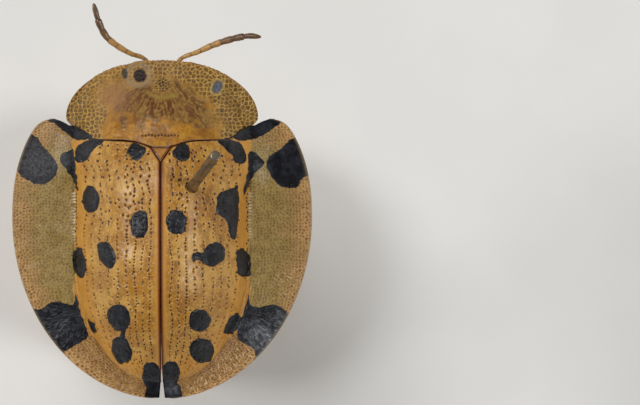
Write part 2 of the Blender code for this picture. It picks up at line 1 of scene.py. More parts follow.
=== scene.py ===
# %% [markdown]
# # A pinned tortoise beetle, life size
# This lesson dresses a small museum specimen: a tortoise beetle on its pin, over a round wooden base.
# The solids were made first, in the same frame, so every piece here is placed by the sizes they share.
# +Z is up, +Y points the way the head points, +X is the beetle's right, and lengths are in millimetres
# until a mesh is made.

# %% Load the solids and keep their box
import math
from types import SimpleNamespace

import bmesh
import bpy
import numpy as np
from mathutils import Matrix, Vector


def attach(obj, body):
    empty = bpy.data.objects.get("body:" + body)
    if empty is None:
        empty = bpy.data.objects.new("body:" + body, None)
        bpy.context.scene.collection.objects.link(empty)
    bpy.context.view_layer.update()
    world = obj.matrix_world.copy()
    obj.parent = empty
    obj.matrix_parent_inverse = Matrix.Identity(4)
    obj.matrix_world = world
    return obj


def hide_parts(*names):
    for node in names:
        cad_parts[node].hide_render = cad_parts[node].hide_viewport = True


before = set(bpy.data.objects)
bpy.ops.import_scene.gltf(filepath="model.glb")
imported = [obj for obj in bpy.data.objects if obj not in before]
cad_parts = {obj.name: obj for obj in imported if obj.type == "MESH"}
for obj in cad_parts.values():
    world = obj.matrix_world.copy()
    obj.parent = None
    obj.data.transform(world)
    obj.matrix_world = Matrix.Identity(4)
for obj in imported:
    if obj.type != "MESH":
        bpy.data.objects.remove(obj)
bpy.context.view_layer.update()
MM = 0.001
print("nodes", len(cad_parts))

# %% [markdown]
# ## Camera, floor and light
# The photograph looks straight down on the beetle's back with a long macro lens, and the beetle sits
# in the left half of the frame. A long lens keeps the perspective as flat as the photograph's, and the
# camera stands over the middle of the frame, so no lens shift is needed.

# %% Camera above the middle of the frame
FRAME_CENTRE = (6.05, 1.05)
RIM_Z = 15.0
CAMERA_HEIGHT = 300.0
FRAME_WIDTH = 24.52
SENSOR_WIDTH = 36.0

camera_data = bpy.data.cameras.new("camera")
camera_data.sensor_width = SENSOR_WIDTH
camera_data.lens = SENSOR_WIDTH * CAMERA_HEIGHT / FRAME_WIDTH
camera_data.clip_start = 0.01
camera_data.clip_end = 10.0
camera = bpy.data.objects.new("camera", camera_data)
camera.location = (FRAME_CENTRE[0] * MM, FRAME_CENTRE[1] * MM, (RIM_Z + CAMERA_HEIGHT) * MM)
bpy.context.scene.collection.objects.link(camera)
bpy.context.scene.camera = camera
print("lens", round(camera_data.lens, 1), "mm")

# %% [markdown]
# Insect photographs are lit by diffused flashes, which wrap the shell in soft light and leave small bright
# glints. Panels overhead and at both sides do the same. The room itself is kept dim, because whatever
# shines from all round also greys a black mark. The Standard view shows the colours as they are mixed.

# %% Soft panels and a dim room
ROOM_LIGHT = 0.22
LIT_POINT = (0, 0, RIM_Z)
# name, place in mm, width in mm and watts
PANELS = (
    ("panel_overhead", (-90, 150, 330), 190, 0.56),
    ("panel_left", (-260, 40, 190), 80, 0.38),
    ("panel_right", (240, -60, 200), 100, 0.36),
)


def soft_panel(name, place, width, power):
    light = bpy.data.lights.new(name, "AREA")
    light.shape = "DISK"
    light.size = width * MM
    light.energy = power
    panel = bpy.data.objects.new(name, light)
    panel.location = Vector(place) * MM
    direction = Vector(LIT_POINT) - Vector(place)
    panel.rotation_euler = direction.to_track_quat("-Z", "Y").to_euler()
    bpy.context.scene.collection.objects.link(panel)


for panel_row in PANELS:
    soft_panel(*panel_row)

world = bpy.data.worlds.new("dim_room")
world.use_nodes = True
room = world.node_tree.nodes["Background"]
room.inputs["Color"].default_value = (1.0, 1.0, 1.0, 1.0)
room.inputs["Strength"].default_value = ROOM_LIGHT
bpy.context.scene.world = world
bpy.context.scene.view_settings.view_transform = "Standard"
print("light panels", len(PANELS))

# %% [markdown]
# ## Materials from nodes
# Every finish is a small tree of nodes. One helper adds a node with its settings and its links, and one
# turns the sRGB hex values that a paint chart gives into the linear values that Blender mixes. A finish is
# then a list of layers, as a painter works: where a colour lies, how strong it is there, and the colour.
# Where it lies can be a noise, or a number that the mesh carries on its points, faded between two values.

# %% Node and colour helpers
def linear(hex_colour, alpha=1.0):
    values = [int(hex_colour[index:index + 2], 16) / 255 for index in (1, 3, 5)]
    return (*[v / 12.92 if v <= 0.04045 else ((v + 0.055) / 1.055) ** 2.4 for v in values], alpha)


def fill(tree, node, inputs):
    """Sets or links the inputs of a node."""
    for key, value in inputs.items():
        if isinstance(value, bpy.types.NodeSocket):
            tree.links.new(value, node.inputs[key])
        else:
            node.inputs[key].default_value = value


def add(tree, kind, settings=None, inputs=None, out=0):
    """Adds a node with its settings and inputs, and returns one output."""
    node = tree.nodes.new(kind)
    for name, value in (settings or {}).items():
        setattr(node, name, value)
    fill(tree, node, inputs or {})
    return node.outputs[out]


def number(tree, what):
    """A number over the surface: a name that the mesh carries, a socket, or (either, low, high) to fade."""
    if isinstance(what, str):
        return add(tree, "ShaderNodeAttribute", {"attribute_name": what}, out=2)
    if isinstance(what, tuple):
        value, low, high, *ends = what
        to_low, to_high = ends or (0.0, 1.0)
        inputs = {"Value": number(tree, value), "From Min": low, "From Max": high}
        inputs.update({"To Min": to_low, "To Max": to_high})
        return add(tree, "ShaderNodeMapRange", {"interpolation_type": "SMOOTHSTEP"}, inputs)
    return what


def both(tree, first, second):
    """Where the one and the other hold."""
    inputs = {0: number(tree, first), 1: number(tree, second)}
    return add(tree, "ShaderNodeMath", {"operation": "MULTIPLY"}, inputs)


def shifted(tree, value, where, amount):
    """A value that changes by this amount where the other number is 1."""
    inputs = {0: number(tree, where), 1: amount, 2: number(tree, value)}
    return add(tree, "ShaderNodeMath", {"operation": "MULTIPLY_ADD"}, inputs)


def layered(tree, tone, *layers):
    """Lays colours over a tone. A layer is where it lies, how strong it is there, and its colour."""
    for where, strength, colour in layers:
        share = number(tree, where) if strength == 1 else both(tree, where, strength)
        under, over = (linear(one) if isinstance(one, str) else one for one in (tone, colour))
        tone = add(tree, "ShaderNodeMix", {"data_type": "RGBA"}, {0: share, 6: under, 7: over}, out=2)
    return tone


print("ochre in linear light", [round(value, 3) for value in linear("#C09142")])


# %% Patterns and relief from nodes
def patchy(tree, size_mm, detail=3.0, stretch=(1, 1, 1)):
    """Cloudy noise whose patches are about this many mm across."""
    place = add(tree, "ShaderNodeTexCoord", out=3)
    vector = add(tree, "ShaderNodeMapping", inputs={"Vector": place, "Scale": stretch})
    inputs = {"Vector": vector, "Scale": 1.0 / (size_mm * MM), "Detail": detail}
    return add(tree, "ShaderNodeTexNoise", inputs=inputs)


def specks(tree, spacing_mm, radius_mm):
    """Scattered dots of this radius, about this many mm apart."""
    place = add(tree, "ShaderNodeTexCoord", out=3)
    inputs = {"Vector": place, "Scale": 1.0 / (spacing_mm * MM)}
    nearest = add(tree, "ShaderNodeTexVoronoi", inputs=inputs)
    return number(tree, (nearest, radius_mm / spacing_mm, 0.6 * radius_mm / spacing_mm))


def cell_lines(tree, size_mm):
    """Thin lines between random cells of this size."""
    place = add(tree, "ShaderNodeTexCoord", out=3)
    inputs = {"Vector": place, "Scale": 1.0 / (size_mm * MM)}
    from_line = add(tree, "ShaderNodeTexVoronoi", {"feature": "DISTANCE_TO_EDGE"}, inputs)
    return number(tree, (from_line, 0.16, 0.06))


def fine_rays(tree, around, outward, width_mm):
    """Fine uneven lines that run outward, from two lengths in mm that the mesh carries."""
    inputs = {"X": number(tree, around), "Y": both(tree, outward, 0.26)}
    place = add(tree, "ShaderNodeCombineXYZ", inputs=inputs)
    inputs = {"Vector": place, "Scale": 1.0 / width_mm, "Detail": 3.0}
    return number(tree, (add(tree, "ShaderNodeTexNoise", inputs=inputs), 0.50, 0.66))


def relief(tree, height, strength, distance_mm):
    inputs = {"Height": height, "Strength": strength, "Distance": distance_mm * MM}
    return add(tree, "ShaderNodeBump", inputs=inputs)


def new_material(name):
    material = bpy.data.materials.new(name)
    material.use_nodes = True
    print("material", name)
    return material, material.node_tree, material.node_tree.nodes["Principled BSDF"]


# %% [markdown]
# The floor is a plain pale sheet of card that only catches a soft shadow. Its surface is felted fibre, so
# it is matt and very slightly uneven.

# %% Floor
FLOOR_HALF_WIDTH = 400.0


def pale_card():
    material, tree, shader = new_material("matt_pale_card")
    tone = layered(tree, "#DEDDDA", ((patchy(tree, 6.0), 0.3, 0.7), 1, "#E2E1DE"))
    fill(tree, shader, {"Base Color": tone, "Roughness": 0.9})
    return material


def make_floor():
    half = FLOOR_HALF_WIDTH * MM
    corners = [(-half, -half, 0), (half, -half, 0), (half, half, 0), (-half, half, 0)]
    mesh = bpy.data.meshes.new("floor")
    mesh.from_pydata(corners, [], [(0, 1, 2, 3)])
    mesh.materials.append(pale_card())
    floor = bpy.data.objects.new("floor", mesh)
    bpy.context.scene.collection.objects.link(floor)


make_floor()

# %% [markdown]
# ## Shared shapes of the shell
# The wing cases and the pronotum are two parts of one shield, so one set of formulas gives both. A dome
# stands on a flat rim. These are the named sizes of the solids, which keeps the dressed shell on them.

# %% Named sizes of the shell
BODY_HALF_WIDTH = 5.74
WIDEST_Y = 0.5
REAR_REACH = 6.95
FRONT_REACH = 5.70
FRONT_POWER = 2.3
SHOULDER_REACH = 3.79
SHOULDER_POWER = 24
SHOULDER_X = 4.30
APEX_X = 0.45
SEAM_HALF_GAP = 0.012
APEX_OPENING = 0.16
APEX_OPENING_Y = -5.0
RIM_SAMPLES = 3000

EDGE_Y = 3.42
EDGE_LOBE_DEPTH = 0.36
EDGE_LOBE_WIDTH = 0.75
EDGE_RISE = 0.83
EDGE_RISE_START_X = 2.3
EDGE_RISE_SPAN_X = 2.0

DOME_HALF_WIDTH = 3.35
DOME_TURN_Y = -1.0
DOME_REAR_REACH = 4.7
DOME_PLAN_POWER = 2.1
DOME_PROFILE_POWER = 2.3
DOME_HEIGHT = 3.00
DOME_PEAK_Y = 1.2
DOME_FRONT_FALL = 0.17
DOME_FOOT_Z = 15.30
RIM_DROP = 0.36
RIM_DROP_POWER = 1.25

PRONOTUM_HALF_WIDTH = 3.68
PRONOTUM_CORNER_Y = 4.30
PRONOTUM_FRONT_REACH = 2.20
PRONOTUM_NARROWING = 0.35
PRONOTUM_FALL_POWER = 1.7
PRONOTUM_CORNER_POWER = 20
PRONOTUM_LAST_COLUMN = 0.998

SCUTELLUM_FRONT_Y = 3.12
SCUTELLUM_TIP_Y = 2.62
SCUTELLUM_NOTCH_X = 0.36


def smoothstep(value):
    value = np.clip(value, 0.0, 1.0)
    return value * value * (3.0 - 2.0 * value)


def bell(distance, width):
    return np.exp(-(distance / width) ** 2)


print("shell", 2 * BODY_HALF_WIDTH, "mm across")


# %% Outline and height of the wing cases
def front_edge_y(x):
    x = np.abs(x)
    lobe = EDGE_LOBE_DEPTH * bell(x, EDGE_LOBE_WIDTH)
    rise = EDGE_RISE * smoothstep((x - EDGE_RISE_START_X) / EDGE_RISE_SPAN_X)
    return EDGE_Y - lobe + rise


def rim_ratio(x, y):
    """1 on the outer rim, and in proportion to the way out to it from the widest place."""
    across = np.abs(x) / BODY_HALF_WIDTH
    ahead = np.clip(y - WIDEST_Y, 0.0, None)
    behind = np.clip(WIDEST_Y - y, 0.0, None)
    side = (across ** FRONT_POWER + (ahead / FRONT_REACH) ** FRONT_POWER) ** (1.0 / FRONT_POWER)
    front = (side ** SHOULDER_POWER + (ahead / SHOULDER_REACH) ** SHOULDER_POWER) ** (1.0 / SHOULDER_POWER)
    return np.where(y > WIDEST_Y, front, np.hypot(across, behind / REAR_REACH))


def spread_evenly(line, count):
    travelled = np.concatenate([[0.0], np.cumsum(np.linalg.norm(np.diff(line, axis=0), axis=1))])
    wanted = np.linspace(0.0, travelled[-1], count)
    return np.stack([np.interp(wanted, travelled, line[:, axis]) for axis in range(line.shape[1])], axis=1)


def rim_line(count):
    """Evenly spaced points of the right rim, from the shoulder to the apex."""
    angle = np.linspace(math.pi / 2, -math.pi / 2, RIM_SAMPLES)
    reach = 1.0 / rim_ratio(np.cos(angle), WIDEST_Y + np.sin(angle))
    round_rim = np.stack([reach * np.cos(angle), WIDEST_Y + reach * np.sin(angle)], axis=1)
    least_x = np.where(angle > 0, SHOULDER_X, APEX_X)
    shoulder = [(SHOULDER_X, float(front_edge_y(SHOULDER_X)))]
    return spread_evenly(np.concatenate([shoulder, round_rim[round_rim[:, 0] >= least_x]]), count)


def dome_ratio(x, y):
    behind = np.clip(DOME_TURN_Y - y, 0.0, None) / DOME_REAR_REACH
    across = np.abs(x) / DOME_HALF_WIDTH
    return (across ** DOME_PLAN_POWER + behind ** DOME_PLAN_POWER) ** (1.0 / DOME_PLAN_POWER)


def dome_height(y):
    return DOME_HEIGHT - DOME_FRONT_FALL * np.clip(y - DOME_PEAK_Y, 0.0, None) ** 2


def dome_profile(ratio):
    return 1.0 - np.clip(ratio, 0.0, 1.0) ** DOME_PROFILE_POWER


def rim_share(x, y):
    """0 on the foot of the dome and 1 on the outer rim."""
    past_foot = np.clip(dome_ratio(x, y) - 1.0, 0.0, None)
    to_rim = np.clip(1.0 - rim_ratio(x, y), 0.0, None)
    return past_foot / (past_foot + to_rim + 1e-9)


def elytra_top(x, y):
    dome = dome_height(y) * dome_profile(dome_ratio(x, y))
    return DOME_FOOT_Z + dome - RIM_DROP * rim_share(x, y) ** RIM_DROP_POWER


print("top of the dome at z", round(float(elytra_top(0.0, DOME_PEAK_Y)), 2))


# %% Outline and height of the pronotum
def pronotum_front_y(x):
    inside = np.clip(1.0 - (np.abs(x) / PRONOTUM_HALF_WIDTH) ** 2, 0.0, None)
    return PRONOTUM_CORNER_Y + PRONOTUM_FRONT_REACH * np.sqrt(inside)


def pronotum_base_y(x, gap):
    inside = np.clip(1.0 - (np.abs(x) / PRONOTUM_HALF_WIDTH) ** PRONOTUM_CORNER_POWER, 0.0, None)
    return PRONOTUM_CORNER_Y - (PRONOTUM_CORNER_Y - front_edge_y(x) - gap) * np.sqrt(inside)


def pronotum_top(x, y):
    span = PRONOTUM_CORNER_Y + PRONOTUM_FRONT_REACH - EDGE_Y
    along = np.clip((y - EDGE_Y) / span, 0.0, 1.0)
    spread = np.abs(x) * (1.0 + PRONOTUM_NARROWING * along) / DOME_HALF_WIDTH
    dome = dome_height(EDGE_Y) * dome_profile(spread)
    edge = (np.abs(x) / PRONOTUM_HALF_WIDTH) ** 2 + (along * 0.9) ** 2
    return DOME_FOOT_Z + dome * (1.0 - along ** PRONOTUM_FALL_POWER) - RIM_DROP * np.clip(edge, 0.0, 1.0) ** 2


print("front of the pronotum at y", round(float(pronotum_front_y(0.0)), 2))

# %% [markdown]
# ## Patterns worked out on the points of a mesh
# The cuticle is pitted in rows on the dome, and netted on the thin rim. Both are worked out here as
# numbers on the mesh's points, so that the relief and the colour come from the same pits and cells.

# %% Smooth noise, scattered cells and rows of pits
def noise(x, y, cell, seed):
    """Smooth values from 0 to 1 that change over about one cell, in mm."""
    table = np.random.default_rng(seed).random((64, 64))
    u, v = x / cell + 31.7, y / cell + 17.3
    iu, iv = np.floor(u).astype(int), np.floor(v).astype(int)
    fu, fv = smoothstep(u - iu), smoothstep(v - iv)
    low = table[iu % 64, iv % 64] * (1 - fu) + table[(iu + 1) % 64, iv % 64] * fu
    high = table[iu % 64, (iv + 1) % 64] * (1 - fu) + table[(iu + 1) % 64, (iv + 1) % 64] * fu
    return low * (1 - fv) + high * fv


def scattered(u, v, size, jitter, seed):
    """Distances in mm to the two nearest of a jittered set of points, and a random mark of the nearest."""
    tables = np.random.default_rng(seed).random((3, 97, 97))
    iu, iv = np.floor(u / size[0]).astype(int), np.floor(v / size[1]).astype(int)
    best, second, mark = np.full(u.shape, 1e9), np.full(u.shape, 1e9), np.zeros(u.shape)
    for du in (-1, 0, 1):
        for dv in (-1, 0, 1):
            a, b = (iu + du) % 97, (iv + dv) % 97
            pu = (iu + du + 0.5 + (tables[0][a, b] - 0.5) * jitter) * size[0]
            pv = (iv + dv + 0.5 + (tables[1][a, b] - 0.5) * jitter) * size[1]
            gap = np.hypot(u - pu, v - pv)
            nearer = gap < best
            second = np.where(nearer, best, np.minimum(second, gap))
            mark = np.where(nearer, tables[2][a, b], mark)
            best = np.where(nearer, gap, best)
    return best, second, mark


def netted(u, v, size, width, seed):
    """Raised ridges between cells, from 0 to 1, then how near each cell's middle is, and its mark."""
    near, next_near, mark = scattered(u, v, size, 0.8, seed)
    return 1.0 - smoothstep((next_near - near) / width), near, mark


def pit_rows(across, along, places, spacing, stray, seed):
    """Distance in mm to the nearest pit of several rows, and a random mark. Pits stray this far from a row."""
    tables = np.random.default_rng(seed).random((3, len(places), 127))
    best, mark = np.full(across.shape, 1e9), np.zeros(across.shape)
    index = np.floor(along / spacing).astype(int)
    for row, place in enumerate(places):
        for shift in (-1, 0, 1):
            cell = (index + shift) % 127
            middle = (index + shift + 0.5 + (tables[0][row, cell] - 0.5) * 0.75) * spacing
            gap = np.hypot(across - place - (tables[1][row, cell] - 0.5) * stray, along - middle)
            nearer = gap < best
            mark = np.where(nearer, tables[2][row, cell], mark)
            best = np.where(nearer, gap, best)
    return best, mark


def line_distance(x, y, points):
    """Distance in mm to a line through the points."""
    nearest = np.full(x.shape, 1e9)
    for (ax, ay), (bx, by) in zip(points[:-1], points[1:]):
        ex, ey = bx - ax, by - ay
        share = np.clip(((x - ax) * ex + (y - ay) * ey) / (ex * ex + ey * ey), 0.0, 1.0)
        nearest = np.minimum(nearest, np.hypot(x - ax - share * ex, y - ay - share * ey))
    return nearest


def nearest_line(x, y, lines):
    return np.min([line_distance(x, y, line) for line in lines], axis=0)


print("noise has values such as", np.round(noise(np.arange(3.0), np.arange(3.0), 0.7, 5), 2))

# %% [markdown]
# The black marks are described by how deep a point lies inside each outline, in mm. Ovals serve for the
# round spots and short outlines with rounded corners serve for the others, listed as x and y in mm.

# %% Depth inside a mark
def rounded(outline, rounds=2):
    points = np.array(outline, dtype=float)
    for _ in range(rounds):
        after = np.roll(points, -1, axis=0)
        points = np.stack([points * 0.75 + after * 0.25, points * 0.25 + after * 0.75], axis=1).reshape(-1, 2)
    return points


def outline_depth(x, y, outline):
    """How far inside the outline each point lies, in mm, and less than 0 outside it."""
    points = rounded(outline)
    inside = np.zeros(x.shape, dtype=bool)
    for (ax, ay), (bx, by) in zip(points, np.roll(points, -1, axis=0)):
        crosses = (ay > y) != (by > y)
        inside ^= crosses & (x < ax + (bx - ax) * (y - ay) / np.where(crosses, by - ay, 1.0))
    nearest = line_distance(x, y, np.concatenate([points, points[:1]]))
    return np.where(inside, nearest, -nearest)


def oval_depth(x, y, oval):
    """The same for an oval, given by its middle, its two radii and its turn in degrees."""
    cx, cy, rx, ry, turn = oval
    angle = math.radians(turn)
    along = (x - cx) * math.cos(angle) + (y - cy) * math.sin(angle)
    across = -(x - cx) * math.sin(angle) + (y - cy) * math.cos(angle)
    ratio = (np.abs(along / rx) ** 2.3 + np.abs(across / ry) ** 2.3) ** (1 / 2.3)
    return (1.0 - ratio) * min(rx, ry)


print("inside a round spot", round(float(oval_depth(0.0, 0.0, (0, 0, 0.4, 0.4, 0))), 2), "mm deep at its middle")


# %% The black marks of the left and the right wing case
LEFT_OVALS = ((-2.70, 1.16, 0.34, 0.50, 4), (-0.80, 0.24, 0.36, 0.51, 2), (-2.06, -0.93, 0.31, 0.53, 26),
              (-3.16, -1.27, 0.25, 0.60, 4), (-1.61, -3.34, 0.43, 0.52, 22), (-1.52, -4.54, 0.36, 0.52, 22),
              (-2.66, -3.70, 0.13, 0.26, 30))
LEFT_OUTLINES = (
    ((-4.62, 4.24), (-4.06, 4.40), (-3.42, 4.20), (-2.92, 3.88), (-2.50, 3.50), (-2.90, 3.42), (-3.38, 3.48),
     (-3.69, 3.74), (-4.08, 4.06)),
    ((-5.05, 3.72), (-4.78, 3.56), (-4.60, 3.25), (-4.25, 2.87), (-3.97, 2.55), (-3.97, 2.24), (-4.21, 1.92),
     (-4.52, 1.72), (-4.94, 1.76), (-5.32, 2.00), (-5.75, 2.45), (-5.70, 3.00), (-5.40, 3.50)),
    ((-3.93, 2.72), (-3.75, 2.98), (-3.49, 3.05), (-3.22, 3.14), (-3.20, 2.47), (-3.19, 1.36), (-3.33, 1.70),
     (-3.45, 2.04), (-3.63, 2.30), (-3.85, 2.50)),
    ((-5.10, -3.00), (-4.54, -3.08), (-4.34, -2.72), (-3.89, -2.76), (-3.59, -2.86), (-3.34, -2.93),
     (-3.33, -2.28), (-3.20, -2.70), (-3.08, -3.29), (-2.92, -3.68), (-2.74, -4.10), (-3.20, -4.32),
     (-3.67, -4.62), (-4.10, -4.90), (-4.80, -4.16)),
    ((-0.70, -5.17), (-0.45, -4.98), (-0.19, -5.05), (-0.04, -5.24), (-0.02, -6.60), (-0.46, -6.62),
     (-0.70, -6.40), (-0.56, -6.04), (-0.74, -5.66)),
    ((-1.56, -3.66), (-1.30, -3.66), (-1.39, -3.90), (-1.30, -4.12), (-1.68, -4.12), (-1.52, -3.90)),
    ((-3.22, 2.75), (-3.18, 3.14), (-3.00, 3.36), (-2.72, 3.46), (-2.14, 3.46), (-2.27, 3.27), (-2.48, 3.07),
     (-2.62, 2.75), (-2.90, 2.55), (-3.16, 2.60)),
    ((-1.30, 3.02), (-1.18, 3.27), (-0.94, 3.36), (-0.74, 3.24), (-0.52, 3.12), (-0.60, 2.87), (-0.76, 2.72),
     (-0.96, 2.64), (-1.20, 2.78)),
)
RIGHT_OVALS = ((0.61, 0.31, 0.38, 0.47, 0), (3.13, -1.27, 0.27, 0.58, 6), (1.48, -3.44, 0.41, 0.44, 0),
               (1.52, -4.58, 0.45, 0.46, 0), (2.72, -3.62, 0.24, 0.46, -28), (2.02, -0.92, 0.40, 0.47, -40))
RIGHT_OUTLINES = (
    ((2.56, 3.46), (3.00, 3.92), (3.60, 4.22), (4.16, 4.36), (4.66, 4.24), (4.44, 3.96), (4.06, 3.77),
     (3.79, 3.60), (3.53, 3.48), (3.16, 3.40)),
    ((3.93, 2.55), (4.13, 2.85), (4.50, 3.04), (4.72, 3.30), (4.98, 3.52), (5.30, 3.50), (5.60, 2.87),
     (5.78, 2.14), (5.52, 2.04), (5.35, 1.98), (5.24, 1.70), (4.98, 1.56), (4.64, 1.62), (4.32, 1.86), (4.13, 2.18)),
    ((3.16, 3.02), (3.56, 2.97), (3.77, 2.76), (3.98, 2.57), (3.71, 2.34), (3.49, 2.10), (3.32, 1.82),
     (3.20, 1.28), (3.13, 1.40), (3.16, 1.98), (3.18, 2.47)),
    ((3.33, -2.20), (3.39, -2.93), (3.71, -2.97), (4.11, -2.84), (4.40, -2.84), (5.00, -3.24), (4.70, -4.20),
     (4.20, -4.80), (3.66, -5.00), (3.52, -4.52), (3.22, -4.38), (2.80, -4.10), (3.00, -3.46), (3.20, -2.90)),
    ((0.04, -5.17), (0.20, -4.99), (0.52, -4.99), (0.69, -5.23), (0.66, -5.54), (0.54, -5.76), (0.72, -6.04),
     (0.84, -6.44), (0.40, -6.62), (0.02, -6.60)),
    ((2.06, 0.89), (2.22, 1.41), (2.44, 1.54), (2.72, 1.56), (2.94, 1.76), (2.96, 1.29), (2.95, 0.69),
     (2.92, 0.20), (2.90, -0.14), (2.84, -0.36), (2.64, -0.36), (2.56, -0.08), (2.50, 0.34), (2.33, 0.52),
     (2.11, 0.65)),
    ((1.22, -1.26), (1.19, -0.92), (1.38, -0.80), (1.56, -0.90), (1.80, -0.72), (1.90, -1.20), (1.60, -1.26),
     (1.43, -1.12)),
    ((2.10, 3.44), (2.52, 3.46), (2.90, 3.38), (3.10, 3.04), (3.13, 2.55), (2.68, 2.51), (2.57, 2.82),
     (2.43, 3.02), (2.26, 3.17)),
    ((0.44, 2.97), (0.62, 3.24), (0.89, 3.38), (1.08, 3.19), (1.15, 2.87), (1.00, 2.66), (0.68, 2.64),
     (0.48, 2.80)),
)


def mark_depth(x, y, ovals, outlines):
    depths = [oval_depth(x, y, oval) for oval in ovals]
    depths += [outline_depth(x, y, outline) for outline in outlines]
    ragged = (noise(x, y, 0.16, 5) - 0.5) * 0.07 + (noise(x, y, 0.06, 6) - 0.5) * 0.03
    return np.max(depths, axis=0) + ragged


print("marks on the left", len(LEFT_OVALS + LEFT_OUTLINES))
print("marks on the right", len(RIGHT_OVALS + RIGHT_OUTLINES))

# %% [markdown]
# ## Turning grids and rings of points into closed meshes
# A plate is a fine grid on the face that shows and a second grid with half as many points each way behind
# it, joined round the edge. The eye gets the fine points, and the far side costs a quarter as much. A limb
# is a row of rings about a line, shut by a point at each end.

# %% Meshes from points
def up_normals(grid):
    normal = np.cross(np.gradient(grid, axis=0), np.gradient(grid, axis=1))
    normal /= np.linalg.norm(normal, axis=2, keepdims=True)
    return normal * np.where(normal[..., 2:3] < 0, -1.0, 1.0)


def grid_quads(rows, columns, first):
    corner = (np.arange(rows - 1)[:, None] * columns + np.arange(columns - 1)[None, :]).ravel() + first
    return np.stack([corner, corner + 1, corner + columns + 1, corner + columns], axis=1)


def border(rows, columns, first):
    loop = list(range(columns))
    loop += [row * columns + columns - 1 for row in range(1, rows)]
    loop += [(rows - 1) * columns + column for column in range(columns - 2, -1, -1)]
    loop += [row * columns for row in range(rows - 2, 0, -1)]
    return [first + index for index in loop + loop[:1]]


def mesh_piece(name, vertices, faces, fields, material, nodes, slot):
    """An object from points in mm, faces and numbers on the points, which stands for the named solids."""
    mesh = bpy.data.meshes.new(name)
    mesh.from_pydata((np.asarray(vertices) * MM).tolist(), [], faces)
    for key, values in fields.items():
        layer = mesh.attributes.new(key, "FLOAT", "POINT")
        layer.data.foreach_set("value", np.asarray(values, dtype=np.float32).ravel())
    work = bmesh.new()
    work.from_mesh(mesh)
    bmesh.ops.recalc_face_normals(work, faces=work.faces)
    work.to_mesh(mesh)
    work.free()
    mesh.shade_smooth()
    mesh.materials.append(material)
    obj = bpy.data.objects.new(name, mesh)
    bpy.context.scene.collection.objects.link(obj)
    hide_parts(*nodes)
    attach(obj, "root")
    print(name, "faces", len(mesh.polygons))
    return obj


def plate(fine, coarse, fields, coarse_fields=None):
    """A closed plate between a fine grid and a coarse one with half its rows and columns."""
    rows, columns = fine.shape[:2]
    coarse_rows, coarse_columns = coarse.shape[:2]
    first = rows * columns
    faces = grid_quads(rows, columns, 0).tolist()
    faces += grid_quads(coarse_rows, coarse_columns, first)[:, ::-1].tolist()
    near, far = border(rows, columns, 0), border(coarse_rows, coarse_columns, first)
    for step in range(len(far) - 1):
        faces.append([far[step], far[step + 1], near[2 * step + 2], near[2 * step + 1], near[2 * step]])
    points = np.concatenate([fine.reshape(-1, 3), coarse.reshape(-1, 3)])
    joined = {}
    for key, values in fields.items():
        behind = (coarse_fields or {}).get(key, values)[::2, ::2]
        joined[key] = np.concatenate([values.ravel(), behind.ravel()])
    return points, faces, joined


def rings(line, radii, up, sides, across=1.0, lift=0.0):
    """Rings of points about a line. across squashes them sideways, and lift adds to the radius."""
    line = np.asarray(line, dtype=float)
    ahead = np.gradient(line, axis=0)
    ahead /= np.linalg.norm(ahead, axis=1, keepdims=True)
    side = np.cross(ahead, up)
    side /= np.linalg.norm(side, axis=1, keepdims=True)
    other = np.cross(side, ahead)
    turn = np.linspace(0.0, 2 * math.pi, sides, endpoint=False)[None, :, None]
    reach = np.asarray(radii)[:, None, None] + np.asarray(lift)[..., None]
    spoke = side[:, None, :] * np.cos(turn) * across + other[:, None, :] * np.sin(turn)
    return line[:, None, :] + reach * spoke


def closed_tube(ring_points, start, end):
    """Points and faces of rings shut by a point at each end."""
    count, sides = ring_points.shape[:2]
    points = np.concatenate([[start], ring_points.reshape(-1, 3), [end]])
    beside = np.roll(np.arange(sides), -1)
    faces = []
    for ring in range(count - 1):
        low = 1 + ring * sides
        around, next_around = low + np.arange(sides), low + beside
        faces += np.stack([around, next_around, next_around + sides, around + sides], axis=1).tolist()
    last = 1 + (count - 1) * sides
    faces += [[0, 1 + int(beside[side]), 1 + side] for side in range(sides)]
    faces += [[len(points) - 1, last + side, last + int(beside[side])] for side in range(sides)]
    return points, faces


def joined_parts(parts):
    """Several (points, faces, fields) as one."""
    points, faces, fields, first = [], [], {}, 0
    for part_points, part_faces, part_fields in parts:
        points.append(part_points)
        faces += [[index + first for index in face] for face in part_faces]
        for key, values in part_fields.items():
            fields.setdefault(key, []).append(np.broadcast_to(values, (len(part_points),)))
        first += len(part_points)
    return np.concatenate(points), faces, {key: np.concatenate(values) for key, values in fields.items()}


print("faces in a grid of 3 by 4 points", len(grid_quads(3, 4, 0)))

# %% [markdown]
# ## The wing cases
# Rows of points run from the seam to the rim, and one column follows the foot of the dome, so the crease
# there stays sharp. The first rows are a sunk flange that the pronotum laps over. The visible relief is a
# real part of the surface: pits in rows, the shoulder hump, the coarse pits along the foot, the bead on
# the outer rim, the raised net and the wrinkles of the rear marks.

# %% Grid of the right wing case
DOME_COLUMNS = 128
RIM_COLUMNS = 88
FLANGE_ROWS = 4
ELYTRON_ROWS = 361
FOOT_LEAST_SHARE = 0.08
FLANGE_STEP = 0.035
FLANGE_SINK = 0.20
PIN_RADIUS = 0.20
PIN_THROUGH = (1.19, 1.63, 17.95)


def seam_x(y):
    notch = np.clip((y - SCUTELLUM_TIP_Y) / (SCUTELLUM_FRONT_Y - SCUTELLUM_TIP_Y), 0.0, 1.0)
    parted = smoothstep((APEX_OPENING_Y - y) / (WIDEST_Y + REAR_REACH + APEX_OPENING_Y))
    return SEAM_HALF_GAP + (SCUTELLUM_NOTCH_X - SEAM_HALF_GAP) * notch + (APEX_OPENING - SEAM_HALF_GAP) * parted


